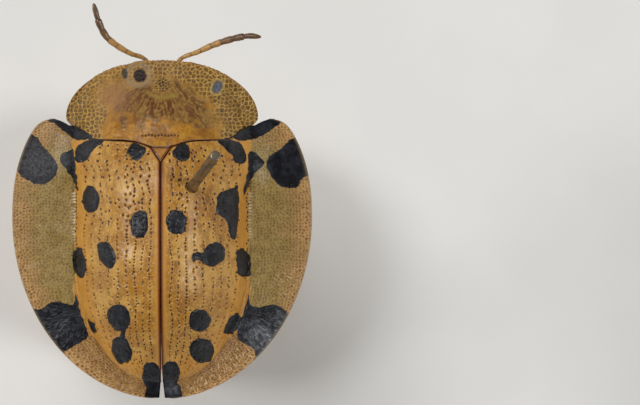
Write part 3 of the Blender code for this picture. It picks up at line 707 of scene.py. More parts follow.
def bent(seam, rim, share, fade):
    point = seam * (1.0 - share)[..., None] + rim * share[..., None]
    straight = float(front_edge_y(SCUTELLUM_NOTCH_X)) * (1.0 - share) + float(front_edge_y(SHOULDER_X)) * share
    y = point[..., 1] + (front_edge_y(point[..., 0]) - straight) * fade
    return np.stack([point[..., 0], y], axis=-1)


def elytron_plan():
    rows = ELYTRON_ROWS - FLANGE_ROWS
    rim = rim_line(rows)
    seam_y = np.linspace(float(front_edge_y(SCUTELLUM_NOTCH_X)), rim[-1, 1] + 0.02, rows)
    seam = np.stack([seam_x(seam_y), seam_y], axis=1)
    fade = (1.0 - np.linspace(0.0, 1.0, rows)) ** 4
    low, high = np.zeros(rows), np.ones(rows)
    for _ in range(24):
        middle = (low + high) / 2
        place = bent(seam, rim, middle, fade)
        inside = dome_ratio(place[:, 0], place[:, 1]) < 1.0
        low, high = np.where(inside, middle, low), np.where(inside, high, middle)
    foot = np.maximum(low, FOOT_LEAST_SHARE)[:, None]
    inner = np.linspace(0.0, 1.0, DOME_COLUMNS, endpoint=False)[None, :] * foot
    outer = foot + np.linspace(0.0, 1.0, RIM_COLUMNS + 1)[None, :] * (1.0 - foot)
    grid = bent(seam[:, None, :], rim[:, None, :], np.concatenate([inner, outer], axis=1), fade[:, None])
    covered = smoothstep((PRONOTUM_HALF_WIDTH - 0.1 - grid[0, :, 0]) / 0.3)
    step = FLANGE_STEP * (0.1 + 0.9 * covered)
    flange = [grid[0] + np.stack([0 * step, step * (FLANGE_ROWS - row)], axis=1) for row in range(FLANGE_ROWS)]
    sink = FLANGE_SINK * covered[None, :] * (1.0 - np.linspace(0.0, 1.0, FLANGE_ROWS + 3))[:, None]
    return np.concatenate([np.stack(flange), grid]), sink


plan, flange_sink = elytron_plan()
print("points on one wing case", plan.shape[0] * plan.shape[1])

# %% [markdown]
# The pits stand in rows, as they do on most beetles. Two close rows run beside the seam and seven more
# across the dome, and the front half has looser pits between them. They are drawn about a fifth wider than
# the real ones, so that each still covers a few points of the mesh. The rim has a net of fine cells, which
# grow larger in its brown border and at the rear.

# %% Pits and nets of one wing case
CLOSE_PIT_ROWS = (0.41, 1.00)
PIT_ROWS = (0.70, 1.31, 1.66, 2.04, 2.34, 2.64, 2.92)
LOOSE_PIT_ROWS = (0.55, 0.84, 1.15, 1.50, 1.85, 2.20)
# rows, spacing in mm, how far pits stray from the row, and how many of the places hold a pit
PIT_KINDS = (
    (CLOSE_PIT_ROWS, 0.115, 0.03, 0.92),
    (PIT_ROWS, 0.15, 0.05, 0.84),
    (LOOSE_PIT_ROWS, 0.24, 0.20, 0.40),
)
PIT_RADIUS = 0.037
PIT_DEPTH = 0.05
FOOT_PIT_RADIUS = 0.042
FOOT_PIT_SPACING = 0.13
WINDOW_CELL = (0.125, 0.125)
OUTER_CELL = (0.118, 0.125)
REAR_CELL = (0.165, 0.160)
RIM_LENGTH = 13.6


def lateral(x, y):
    """Distance from the seam, stretched so that the pit rows close in towards the rear."""
    half = DOME_HALF_WIDTH * (1.0 - np.clip((DOME_TURN_Y - y) / DOME_REAR_REACH, 0.0, 0.93) ** 2.1) ** 0.476
    return np.abs(x) + (DOME_HALF_WIDTH - half) * np.clip(np.abs(x) / half, 0.0, 1.2) ** 2


def disc_pits(x, y, ratio, seed):
    across = lateral(x, y) + (noise(x, y, 1.1, seed) - 0.5) * 0.16
    front = smoothstep((y + 0.4) / 2.0)
    along = y + 20 - 0.28 * np.clip(y - 0.2, 0.0, None)
    clear = smoothstep((0.975 - ratio) / 0.03) * smoothstep((np.abs(x) - 0.28) / 0.05)
    clear *= smoothstep((front_edge_y(x) - y - 0.10) / 0.05)
    wavy = across + front * 0.05 * np.sin(y * 7.0 + x * 3.0)
    pits = np.zeros(x.shape)
    for rows, spacing, stray, share in PIT_KINDS:
        gap, mark = pit_rows(wavy, along, rows, spacing, stray, seed)
        size = PIT_RADIUS * (0.88 + 0.22 * (mark * 7 % 1) + 0.10 * front)
        size = size * (1.0 - 0.10 * smoothstep((across - 1.5) / 1.0))
        present = mark < share - 0.08 * smoothstep((across - 1.5) / 0.8)
        if rows is LOOSE_PIT_ROWS:
            present &= mark < 0.16 + front
        pits = np.maximum(pits, np.exp(-(gap / size) ** 4) * present)
    return pits * clear


def foot_pits(off_foot, y, seed):
    gap, mark = pit_rows(off_foot + 1.0, y + 20, (0.95,), FOOT_PIT_SPACING, 0.08, seed)
    pits = np.exp(-(gap / FOOT_PIT_RADIUS) ** 4) * (mark < 0.85)
    return pits * smoothstep((3.0 - y) / 0.3) * smoothstep((y + 2.3) / 0.6)


def margin_pattern(case):
    """Adds the net of the rim, its dots, how far a point is in the outer border, and a mark for each cell."""
    width = np.hypot(*(plan - plan[:, DOME_COLUMNS:DOME_COLUMNS + 1]).transpose(2, 0, 1))
    travelled = np.linspace(0.0, RIM_LENGTH, plan.shape[0])[:, None] + 0 * case.x
    wobble = (noise(case.x, case.y, 0.45, case.seed + 2) - 0.5) * 0.20
    wobble = wobble + (noise(case.x, case.y, 0.15, case.seed + 3) - 0.5) * 0.10
    rear = smoothstep((-3.5 - case.y) / 0.6)
    fine, fine_near, mark = netted(travelled, width, WINDOW_CELL, 0.050, case.seed + 4)
    wide, _, case.cell_mark = netted(travelled, width, OUTER_CELL, 0.060, case.seed + 11)
    large, _, _ = netted(travelled, width, REAR_CELL, 0.075, case.seed + 12)
    wide = wide * (1.0 - rear) + large * rear
    case.outer = smoothstep((case.out + wobble - 0.60) / 0.42)
    on_margin = smoothstep((case.out - 0.02) / 0.04)
    case.dots = bell(fine_near, 0.026) * (mark < 0.75) * (1.0 - 0.8 * case.outer) * on_margin
    case.net = (fine * (1.0 - case.outer) + wide * case.outer) * on_margin


print("rows of pits", sum(len(rows) for rows, _, _, _ in PIT_KINDS))

# %% [markdown]
# Every point first learns where it lies: how far from the seam, the foot of the dome, the rim and the edge
# of a mark. The relief and the finish are then written as sums of soft steps and bells of these distances.
# At the rear marks the cuticle is finely wrinkled. The broad wrinkles are in the mesh. The rays on them,
# like the comb of fine ridges on the rear rim, are too fine for it, so the finish paints their glints as pale lines.

# %% Places and marks on one wing case
WRINKLE_PITCH = 0.135
FAN_MIDDLE = (2.4, -2.9)
# painted grey sheen on the black marks: x, y, width in mm and strength
PAINTED_SHEEN_PATCHES = (
    (3.80, -4.15, 0.55, 0.9),
    (4.5, -3.3, 0.35, 0.5),
    (-3.9, -3.65, 0.50, 0.15),
    (0.42, -6.05, 0.26, 0.8),
)


def case_places(side):
    x, y = plan[..., 0] * side, plan[..., 1]
    case = SimpleNamespace(x=x, y=y, wide=np.abs(x), side=side, seed=40 + side)
    case.ratio, case.out = dome_ratio(x, y), rim_share(x, y)
    case.on_dome = case.ratio < 1
    case.off_foot = (case.ratio - 1.0) * DOME_HALF_WIDTH
    case.seam_mm = case.wide - seam_x(y)
    case.front_mm = front_edge_y(x) - y
    case.bead = bell(case.out - 1.0, 0.035)
    case.pit = disc_pits(x, y, case.ratio, case.seed)
    case.foot_pit = foot_pits(case.off_foot, y, case.seed + 1)
    return case


def add_marks(case):
    """Adds the depth in the black marks, and the fan of wrinkles on the rear ones."""
    x, y = case.x, case.y
    marks = (RIGHT_OVALS, RIGHT_OUTLINES) if case.side > 0 else (LEFT_OVALS, LEFT_OUTLINES)
    case.black = mark_depth(x, y, *marks)
    case.inked = smoothstep(case.black / 0.05 + 0.5)
    case.rear_mark = case.inked * bell(np.hypot(case.wide - 3.9, y + 3.8), 1.15) * smoothstep(case.out / 0.05)
    turn = np.arctan2(y - FAN_MIDDLE[1], case.wide - FAN_MIDDLE[0])
    case.fan = turn * 1.9 + noise(x, y, 0.35, case.seed + 6) * 0.18
    case.reach = np.hypot(case.wide - FAN_MIDDLE[0], y - FAN_MIDDLE[1])
    wave = 0.5 + 0.5 * np.sin(case.fan * 2 * math.pi / WRINKLE_PITCH)
    broken = smoothstep(noise(x, y, 0.20, case.seed + 5) * 1.6 - 0.25)
    case.wrinkle = wave * broken * case.rear_mark * smoothstep((case.out - 0.05) / 0.35)


def painted_sheen_patches(case):
    """Where a grey sheen is painted on the black marks, broken up by noise."""
    shine = sum(power * bell(np.hypot(case.x - px, case.y - py), width) for px, py, width, power in PAINTED_SHEEN_PATCHES)
    return shine * (0.35 + 0.65 * smoothstep(noise(case.x, case.y, 0.10, case.seed + 14) * 1.8 - 0.4))


def comb_glints(case):
    """Where the rear rim, and a patch at its side, has a comb of fine ridges, whose glints are painted as pale rays.
    The right side has more of them.
    """
    right = case.side > 0
    comb = smoothstep((-4.2 - case.y) / 0.5) * smoothstep((case.wide - 0.8) / 0.4) * (0.75 if right else 0.30)
    comb = np.maximum(comb, (0.7 if right else 0.2) * bell(np.hypot(case.wide - 4.95, case.y + 2.1), 0.65))
    return comb * smoothstep((case.out - 0.22) / 0.25) * smoothstep((0.97 - case.out) / 0.05)


def painted_crenate_glints(case):
    """Where the foot of the dome has its short row of pale ticks, painted highlights on its crenation."""
    band = bell(case.off_foot - 0.02, 0.065) * smoothstep((1.5 - case.y) / 0.1) * smoothstep((case.y + 0.6) / 0.5)
    broken = smoothstep(noise(case.x, case.y, 0.20, case.seed + 10) * 1.4 + 0.1)
    return band * (1.0 if case.side < 0 else 0.7) * broken


print("patches of sheen", len(PAINTED_SHEEN_PATCHES))


# %% Relief and numbers of one wing case
def case_height(case):
    """How far each point stands over the plain shell, in mm."""
    x, y, off_foot, inked = case.x, case.y, case.off_foot, case.inked
    shoulder = bell(np.hypot((case.wide - 2.62) / 0.55, (y - 2.85) / 0.6), 1.0)
    height = 0.16 * shoulder * smoothstep((1.0 - case.ratio) / 0.1)
    shoulder_fillet = 0.19 * bell(off_foot, np.where(off_foot < 0, 0.30, 0.60)) * smoothstep((y - 1.4) / 1.2)
    height += shoulder_fillet * smoothstep((case.front_mm - 0.02) / 0.5)
    height += 0.15 * bell(off_foot, 0.42) * smoothstep((-4.2 - y) / 0.9) * smoothstep((2.6 - case.wide) / 1.4)
    height += (noise(x, y, 0.5, case.seed + 8) - 0.5) * 0.035 + (noise(x, y, 0.13, case.seed + 9) - 0.5) * 0.010
    height -= 0.03 * bell(off_foot, 0.05) * smoothstep((2.4 - y) / 0.8) * smoothstep((y + 4.2) / 0.5)
    height += 0.035 * case.bead - PIT_DEPTH * case.pit * (1 - 0.4 * inked) - 0.05 * case.foot_pit
    height += (0.006 + 0.008 * case.outer) * (case.net - case.dots) * (1.0 - 0.8 * inked)
    height += 0.015 * case.wrinkle + 0.012 * inked * case.on_dome
    height += (0.004 + 0.010 * case.on_dome) * (noise(x, y, 0.07, case.seed + 11) - 0.5) * inked
    height -= 0.025 * bell(case.black - 0.02, 0.03) * case.on_dome
    height += 0.020 * bell(case.seam_mm - 0.07, 0.05) * (y < SCUTELLUM_TIP_Y)
    if case.side > 0:
        around = np.hypot(x - PIN_THROUGH[0], y - PIN_THROUGH[1])
        height += 0.05 * bell(around - PIN_RADIUS - 0.05, 0.05) - 0.10 * bell(around, PIN_RADIUS)
    return height


def case_fields(case):
    """The numbers that the finish of the upper face reads."""
    x, y, off_foot = case.x, case.y, case.off_foot
    olive = (1.0 - case.outer) * smoothstep((y + 3.5) / 0.5) * (1.0 - 0.60 * smoothstep((y - 3.0) / 0.5))
    beside_mark = smoothstep((-1.5 - y) / 1.0) * smoothstep((y + 4.2) / 0.4)
    return {
        "black_mm": case.black, "seam_mm": case.seam_mm, "front_mm": case.front_mm, "olive": olive,
        "margin": smoothstep((off_foot + 0.03 - 0.19 * beside_mark) / 0.05), "outer": case.outer,
        "pit": np.maximum(case.pit, case.foot_pit),
        "net": case.net * (0.58 + 0.42 * case.outer), "dots": case.dots,
        "cell_mark": case.cell_mark, "rear_mark": case.rear_mark, "fan": case.fan, "reach": case.reach,
        "shine": painted_sheen_patches(case), "crenate": painted_crenate_glints(case), "comb": comb_glints(case),
        "sweep": np.arctan2(y - WIDEST_Y, case.wide) * 6.3, "from_middle": np.hypot(x, y - WIDEST_Y),
        # painted light: the steep foot of the dome is painted lighter, as less light reaches it
        "foot_glow": bell(off_foot + 0.25, 0.35), "rim_line": bell(case.out - 1.0, 0.02),
        "pale_mark": case.inked * bell(np.hypot(x + 4.7, y - 2.6), 1.0), "below": 0 * x,
    }


def case_fields_below(case, fields):
    """The numbers that differ on the lower face: coarse pits along the foot, painted shade deep under the dome, and
    a black shoulder.
    """
    along = (case.y * 7.0 + 70) % 1.0 / 7.0 - 0.07
    pit = np.exp(-(np.hypot(case.off_foot - 0.16, along) / 0.04) ** 4) * (case.y < 1.5)
    # painted shade: deep under the dome the lower face is painted dark brown, where the cavity lies in shadow
    hollow = 0.85 * smoothstep((-case.off_foot - 0.12) / 0.12) * smoothstep((case.y + 3.8) / 0.4)
    shoulder = 0.46 - np.hypot(case.wide - 3.02, (case.y - 2.65) * 0.85)
    nothing = 0 * case.x
    return {
        "pit": np.maximum(pit, hollow), "black_mm": np.maximum(case.black, shoulder), "net": 0.15 * case.net,
        "dots": 0.3 * case.dots, "comb": 0.4 * fields["comb"], "shine": 0.5 * fields["shine"],
        "below": nothing + 1.0, "crenate": nothing, "foot_glow": nothing, "front_mm": nothing + 1.0,
        "seam_mm": case.seam_mm + 1.0, "margin": smoothstep((case.off_foot - 0.05) / 0.04),
    }


def case_depth(case):
    """Thickness of the shell in mm, with the ridge and the shoulder that stand on its lower face."""
    thickness = 0.30 - 0.16 * smoothstep(case.out / 0.8) - 0.04 * case.bead - 0.16 * bell(case.off_foot, 0.30)
    ridge = 0.05 * bell(case.off_foot - 0.02, 0.06) * smoothstep((2.6 - case.y) / 0.2)
    ridge = ridge * smoothstep((case.y + 6.2) / 0.5)
    return thickness + ridge + 0.34 * bell(np.hypot(case.wide - 2.86, (case.y - 3.00) * 0.85), 0.36)


def elytron(side):
    case = case_places(side)
    margin_pattern(case)
    add_marks(case)
    base = np.stack([case.x, case.y, elytra_top(case.x, case.y)], axis=-1)
    base[:FLANGE_ROWS + 3, :, 2] -= flange_sink
    normals = up_normals(base)
    upper = base + normals * case_height(case)[..., None]
    lower = base - normals * case_depth(case)[..., None]
    fields = case_fields(case)
    return plate(upper, lower[::2, ::2], fields, case_fields_below(case, fields))


print("deepest pit", PIT_DEPTH, "mm")

# %% [markdown]
# The finish of the wing cases is insect cuticle: a hard, slightly translucent horn with the satin shine of
# a varnish. On the dome it is an ochre amber, mottled and flecked, with dark pits, and its steep foot is
# painted lighter where less light reaches it. On the rim it thins to an olive window with a brown netted
# border. The marks are a blue black with a painted grey sheen and painted glints, and the rear ones have
# fine grey rays, painted highlights of their wrinkles, and a softer painted sheen. Pale specks all over
# are dust and painted glints.

# %% Spotted cuticle
HORN_IOR = 1.54


def disc_colour(tree):
    """From the broad clouds to the specks, then painted light on the steep foot of the dome, and the brown of the
    seam.
    """
    return layered(
        tree, "#A26E20",
        ((patchy(tree, 1.1), 0.36, 0.64), 1, "#C09142"),
        ((patchy(tree, 0.24, 5.0, (1, 0.55, 1)), 0.47, 0.60), 0.55, "#8C5A1E"),
        ((patchy(tree, 0.07, 2.0), 0.55, 0.68), 0.58, "#DDB672"),
        ((patchy(tree, 0.50, 5.0), 0.64, 0.70), 0.50, "#74431A"),
        (specks(tree, 0.33, 0.020), 0.75, "#6A3E18"),
        # painted light: the steep foot of the dome gets less light from above, so it is painted lighter
        ("foot_glow", 0.55, "#CE9038"),
        (("seam_mm", 0.26, 0.16), 0.8, "#B98438"),
        (("seam_mm", 0.13, 0.06), 1, "#86501E"),
        (("seam_mm", 0.06, 0.03), 1, "#4E240E"),
    )


def margin_colour(tree):
    """Ochre border, olive window, the net and its dots, then the painted highlights: pale rays on the comb of ridges
    and pale ticks along the foot of the dome.
    """
    olive = layered(tree, "#7E652F", ((patchy(tree, 0.30), 0.36, 0.64), 1, "#957B42"))
    line = layered(tree, "#C8A26A", ("olive", 1, "#AE9660"))
    place = add(tree, "ShaderNodeTexCoord", out=3)
    inputs = {"Vector": place, "Scale": 2.8 / MM, "Distortion": 0.8}
    ticks = add(tree, "ShaderNodeTexWave", {"bands_direction": "Y"}, inputs)
    return layered(
        tree, "#7A5126",
        ((patchy(tree, 0.35), 0.38, 0.62), 1, "#946A3A"),
        (("cell_mark", 0.55, 0.9), 0.6, "#6A4220"),
        ("olive", 1, olive),
        (both(tree, ("net", 0.30, 0.0), "outer"), 0.46, "#6A4218"),
        ("net", 0.82, line),
        ("dots", 0.75, "#43351A"),
        (specks(tree, 0.40, 0.018), 0.7, "#54401E"),
        # pale rays on the comb of fine ridges: the ridges are real, their glints are painted
        (fine_rays(tree, "sweep", "from_middle", 0.060), "comb", "#E0BE92"),
        (both(tree, cell_lines(tree, 0.15), "below"), 0.30, "#A67A3C"),
        # pale ticks along the foot of the dome: painted highlights
        ((ticks, 0.20, 0.50), "crenate", "#E2D4B8"),
    )


def black_colour(tree):
    """Painted sheen and glints as grey patches and specks, the painted sheen patches, grey rays as painted
    highlights of the rear marks' wrinkles, and the rubbed grey of one mark.
    """
    # grey rays: painted highlights along the wrinkles of the rear marks
    rays = both(tree, fine_rays(tree, "fan", "reach", 0.055), "rear_mark")
    rubbed = layered(tree, "#38373A", ((patchy(tree, 0.10, 6.0), 0.34, 0.68), 1, "#5A585B"))
    return layered(
        tree, "#121216",
        # grey patches and fine grey specks: a painted sheen and painted glints
        ((patchy(tree, 0.45, 5.0), 0.42, 0.72), 1, "#282A31"),
        ((patchy(tree, 0.05, 2.0), 0.66, 0.76), 0.40, "#8C8C8C"),
        # the painted sheen, then the grey rays, painted highlights that are brighter inside the sheen
        ("shine", 0.62, "#85878C"),
        (rays, shifted(tree, 0.16, "shine", 0.80), "#A8AAAE"),
        ("pale_mark", 0.85, rubbed),
    )


def spotted_cuticle():
    material, tree, shader = new_material("spotted_cuticle")
    black = number(tree, ("black_mm", -0.012, 0.014))
    colour = layered(
        tree, disc_colour(tree),
        ("margin", 1, margin_colour(tree)),
        # dark pits, and on the lower face painted shade deep under the dome
        (("pit", 0.20, 0.80), 1, "#2E1A0B"),
        # a dark red-brown line along the front edge, partly painted shadow where the pronotum's edge laps over it
        (("front_mm", 0.06, 0.02), 1, "#3A170A"),
        (black, 1, black_colour(tree)),
        ("rim_line", 0.5, "#A08A6A"),
        # pale specks: dust, and painted glints
        (specks(tree, 0.70, 0.026), 0.8, "#E6D9BC"),
    )
    roughness = shifted(tree, (patchy(tree, 0.2), 0.3, 0.7, 0.27, 0.40), "rear_mark", -0.06)
    gloss = shifted(tree, (black, 0.0, 1.0, 0.40, 0.28), ("seam_mm", 0.08, 0.02), -0.30)
    fill(tree, shader, {
        "Base Color": colour, "Roughness": roughness,
        "Specular IOR Level": shifted(tree, gloss, "margin", -0.16),
        "Normal": relief(tree, patchy(tree, 0.035, 2.0), 0.30, 0.02), "IOR": HORN_IOR,
        "Subsurface Weight": 0.05, "Subsurface Scale": 0.2 * MM,
    })
    return material


cuticle = spotted_cuticle()
for side, word in ((1, "right"), (-1, "left")):
    mesh_piece("wing_case_" + word, *elytron(side), cuticle, ("elytron_" + word,), "shell")

# %% [markdown]
# ## The pronotum and the scutellum
# The pronotum is the shield over the head. Its edge is a window of netted cells, its middle is streaked
# brown below a yellow-green crescent, and its base is smooth amber with one short row of pits. A few dark
# and grey spots lie near its front edge. It laps over the flange of the wing cases by a hair.

# %% Places and marks on the pronotum
PRONOTUM_ROWS = 141
PRONOTUM_COLUMNS = 361
PRONOTUM_BASE_GAP = 0.01
PRONOTUM_CELL = (0.160, 0.160)
DARK_CELL = (0.12, 0.12)
BASE_PIT_PLACES = np.linspace(-0.70, 0.66, 12)
BASE_PIT_Y = 3.60
BROWN_SPOT = (-0.83, 5.88, 0.24, 0.25, 20)
DUSKY_SPOT = (-1.42, 5.98, 0.11, 0.21, 8)
GREY_SPOT = (2.12, 5.47, 0.17, 0.24, -25)
HALO = (-0.90, 5.92, 0.42, 0.40, 0)


def pronotum_places():
    turns = np.linspace(-1.0, 1.0, PRONOTUM_COLUMNS)
    across = PRONOTUM_HALF_WIDTH * PRONOTUM_LAST_COLUMN * np.sin(turns * math.pi / 2)
    along = np.linspace(0.0, 1.0, PRONOTUM_ROWS)[:, None]
    x = np.repeat(across[None, :], PRONOTUM_ROWS, axis=0)
    y = pronotum_base_y(across, PRONOTUM_BASE_GAP) * (1.0 - along) + (pronotum_front_y(across) - 0.01) * along
    shield = SimpleNamespace(x=x, y=y, base_mm=y - front_edge_y(x))
    shield.wobble = noise(x, y, 0.25, 72) - 0.5
    shield.from_base = np.hypot(x / 2.15, (y - 3.42) / 2.30)
    shield.edge = np.minimum(pronotum_front_y(x) - y, 3.0) / 0.12
    return shield


def add_cells(shield):
    """Adds the net, where it lies, and the small black cells in the middle of the front."""
    x, y, wobble = shield.x, shield.y, shield.wobble
    shield.dark_cells = bell(np.hypot(x - 0.05, (y - 5.52) * 1.2), 0.36)
    netting = smoothstep((shield.from_base - 0.93 + wobble * 0.16) / 0.20)
    netting = netting * (1.0 - 0.85 * bell(np.hypot((x + 1.62) / 0.75, (y - 5.25) / 0.55), 1.0))
    shield.netting = np.maximum(netting, smoothstep(shield.dark_cells * 2.2 - 0.3))
    net, shield.near, shield.cell_mark = netted(x + wobble * 0.03, y, PRONOTUM_CELL, 0.064, 71)
    small_net, _, _ = netted(x, y * 1.1, DARK_CELL, 0.055, 78)
    shield.net = net + (small_net - net) * smoothstep(shield.dark_cells * 4.0 - 1.4)


def add_streaks(shield):
    """Adds the brown streaks that spread from under the crescent, and the crescent."""
    x, y, wobble = shield.x, shield.y, shield.wobble
    turn = np.arctan2(y - 6.1, x) * 1.5
    outward = np.hypot(x - 0.05, (y - 5.9) * 1.1)
    streak = 0.50 * noise(turn + wobble * 0.08, outward * 0.16, 0.045, 73)
    shield.streak = streak + 0.25 * noise(x, y, 0.11, 75) + 0.25 * noise(x, y, 0.05, 76)
    streaked = (1.0 - shield.netting) * smoothstep((y - 3.90 + wobble * 0.9) / 0.50)
    shield.streaked = streaked * smoothstep((2.25 - np.abs(x) + wobble) / 0.5)
    crescent_y = 5.04 + 0.50 * (x - 0.05) ** 2
    crescent = bell(y - crescent_y, 0.085 + 0.04 * bell(x - 0.3, 0.3))
    shield.crescent = crescent * smoothstep((0.70 - np.abs(x - 0.05)) / 0.3)


def base_pits(x, y):
    pit = np.zeros(x.shape)
    for place in BASE_PIT_PLACES:
        shake = 0.02 * math.sin(place * 37)
        from_pit = np.hypot(x - place, (y - BASE_PIT_Y - shake) * 1.2)
        pit = np.maximum(pit, np.exp(-(from_pit / FOOT_PIT_RADIUS) ** 4))
    return pit


print("pits along the base of the pronotum", len(BASE_PIT_PLACES))


# %% Relief and numbers of the pronotum
def pronotum_fields(shield):
    x, y = shield.x, shield.y
    grey_mm = oval_depth(x, y, GREY_SPOT)
    seam_mm = np.minimum(shield.base_mm, y - SCUTELLUM_FRONT_Y - 0.02)
    return {
        "netting": shield.netting, "cell_mark": shield.cell_mark, "hollow": shield.netting * (1.0 - shield.net),
        # core marks the middle of each cell, which stays lighter than the painted shade at its edges
        "core": bell(shield.near, 0.05), "dark_cells": shield.dark_cells, "streak": shield.streak,
        "streaked": shield.streaked, "crescent": shield.crescent, "pit": shield.pit,
        "red": bell(np.hypot(x / 1.15, (y - 4.85) / 0.62), 1.0),
        "blush": bell(np.hypot(x + 1.75, y - 5.05), 0.62),
        "brown_spot": smoothstep(oval_depth(x, y, BROWN_SPOT) / 0.06 + 0.5),
        "dusky_spot": smoothstep(oval_depth(x, y, DUSKY_SPOT) / 0.05 + 0.5),
        "grey_spot": smoothstep(grey_mm / 0.05 + 0.5), "grey_rim": bell(grey_mm + 0.05, 0.03),
        "halo": bell(oval_depth(x, y, HALO), 0.12) * (y > 5.4),
        "edge": bell(shield.edge, 0.22), "bead": bell(shield.edge, 0.6),
        "middle": np.maximum(bell(x, 1.3), bell(shield.from_base - 1.0, 0.12)),
        "base_mm": np.where(np.abs(x) < SCUTELLUM_NOTCH_X + 0.06, seam_mm, shield.base_mm),
    }


def pronotum():
    shield = pronotum_places()
    add_cells(shield)
    add_streaks(shield)
    x, y = shield.x, shield.y
    shield.pit = base_pits(x, y)
    fields = pronotum_fields(shield)
    height = 0.028 * shield.netting * shield.net + 0.02 * fields["bead"] - 0.05 * shield.pit
    height += (noise(x, y, 0.5, 74) - 0.5) * 0.04 + 0.030 * shield.streaked * shield.streak
    height += 0.012 * (noise(x, y, 0.09, 77) - 0.5) + 0.015 * bell(shield.base_mm - 0.05, 0.05)
    base = np.stack([x, y, pronotum_top(x, y)], axis=2)
    thickness = 0.14 + 0.12 * (1.0 - smoothstep((np.hypot(x / 2.2, (y - 3.4) / 1.7) - 0.6) / 0.5))
    lower = base.copy()
    lower[..., 2] -= thickness * smoothstep(shield.base_mm / 0.25 + 0.45)
    nothing = 0 * x
    below = {"pit": nothing, "streaked": nothing, "middle": nothing, "crescent": nothing}
    below["base_mm"] = nothing + 1.0
    return plate(base + up_normals(base) * height[..., None], lower[::2, ::2], fields, below)


print("spots on the pronotum", len((BROWN_SPOT, DUSKY_SPOT, GREY_SPOT)))

# %% [markdown]
# The pronotum is the same horn as the wing cases, but thinner, so its window shows each cell as a brown
# hollow between yellow ridges. The layers run from the amber ground, over the streaks and the net, to the
# spots, the row of pits and the brown line along the edge.

# %% Netted cuticle
def netted_cuticle():
    material, tree, shader = new_material("netted_cuticle")
    brown = layered(
        tree, "#7C5A28",
        ((patchy(tree, 0.14, 4.0), 0.42, 0.60), 1, "#94703A"),
        (("streak", 0.44, 0.62), 0.75, "#5C3A1C"),
        (both(tree, "red", ("streak", 0.36, 0.60)), 0.85, "#5E2C14"),
    )
    # each cell is darker at its edges and lighter in its core: painted shade at the foot of the ridges
    cell = layered(
        tree, "#6A4E20",
        (("cell_mark", 0.15, 0.85), 1, "#553C18"),
        ("middle", 0.75, "#6C401A"),
        ("core", 0.55, "#826730"),
    )
    cells = layered(tree, "#AC823A", ((patchy(tree, 0.3), 0.4, 0.6), 1, "#C69C50"), ("hollow", 1, cell))
    grey = layered(tree, "#4E5258", ((patchy(tree, 0.12), 0.35, 0.65), 1, "#6A6E74"))
    colour = layered(
        tree, "#8C5B17",
        ((patchy(tree, 0.5, 4.0), 0.38, 0.62), 1, "#AE7A26"),
        ((patchy(tree, 0.12, 5.0), 0.48, 0.62), 0.48, "#74491A"),
        (specks(tree, 0.30, 0.022), 0.6, "#6A4218"),
        ("streaked", 1, brown),
        ("netting", 1, cells),
        ("blush", 0.60, "#93694A"),
        ("halo", 0.70, "#97805E"),
        (both(tree, "dark_cells", "hollow"), 1, "#1E1B18"),
        ("crescent", 0.85, "#957A34"),
        ("brown_spot", 1, "#2A1914"),
        ("dusky_spot", 0.9, "#302F2C"),
        ("grey_rim", 0.6, "#C4A862"),
        ("grey_spot", 1, grey),
        (("pit", 0.15, 0.75), 1, "#27120A"),
        # pale specks: dust, and painted glints
        (specks(tree, 0.45, 0.024), 0.8, "#DCC494"),
        ("bead", 0.6, "#B08040"),
        ("edge", 0.8, "#5E3A1C"),
        # a dark line along the base, partly painted shade, which reaches out from under the front edge of the
        # scutellum
        (("base_mm", 0.07, 0.01), 1, "#3E1C0C"),
    )
    fill(tree, shader, {
        "Base Color": colour, "Roughness": number(tree, (patchy(tree, 0.2), 0.3, 0.7, 0.28, 0.42)),
        "Normal": relief(tree, patchy(tree, 0.035, 2.0), 0.30, 0.02), "IOR": HORN_IOR,
        "Specular IOR Level": 0.30, "Subsurface Weight": 0.06, "Subsurface Scale": 0.2 * MM,
    })
    return material


shield_cuticle = netted_cuticle()
mesh_piece("shield", *pronotum(), shield_cuticle, ("pronotum",), "shell")

# %% [markdown]
# Amber cuticle serves the scutellum and everything below the shell. It is the same horn as the shell,
# thicker and glossier, and each piece says where it is dark, where a suture runs and where it is mottled.

# %% Amber cuticle
AMBER_FIELDS = ("glow", "mottled", "violet", "pale", "suture", "dark", "red")


def amber_cuticle():
    material, tree, shader = new_material("amber_cuticle")
    ink = layered(tree, "#15100F", ("red", 1, "#3C0C07"))
    colour = layered(
        tree, "#7C5626",
        ((patchy(tree, 0.6), 0.36, 0.64), 1, "#A67A38"),
        ((patchy(tree, 0.12, 4.0), 0.5, 0.72), 0.50, "#CFA468"),
        ("glow", 0.85, "#BC8034"),
        ((patchy(tree, 0.20, 5.0), 0.50, 0.64), 0.55, "#744620"),
        # pale specks: dust, and painted glints
        (specks(tree, 0.50, 0.022), 0.8, "#E6CC9A"),
        ((patchy(tree, 0.26, 6.0), 0.42, 0.62), "mottled", "#52300F"),
        ("violet", 1, "#48362C"),
        ("pale", 1, "#D6AC66"),
        ("suture", 1, "#4C200C"),
        ("dark", 1, ink),
    )
    fill(tree, shader, {
        "Base Color": colour,
        "Roughness": shifted(tree, (patchy(tree, 0.15), 0.3, 0.7, 0.24, 0.38), "dark", -0.12),
        "Normal": relief(tree, patchy(tree, 0.05, 3.0), 0.25, 0.02), "IOR": HORN_IOR,
        "Subsurface Weight": 0.08, "Subsurface Scale": 0.25 * MM,
    })
    return material


def amber_fields(shape, **given):
    """Every number that the amber cuticle reads, 0 where it isn't given."""
    return {key: np.broadcast_to(given.get(key, 0.0), shape).astype(float) for key in AMBER_FIELDS}


amber = amber_cuticle()

# %% Scutellum
SCUTELLUM_POINTS = 41


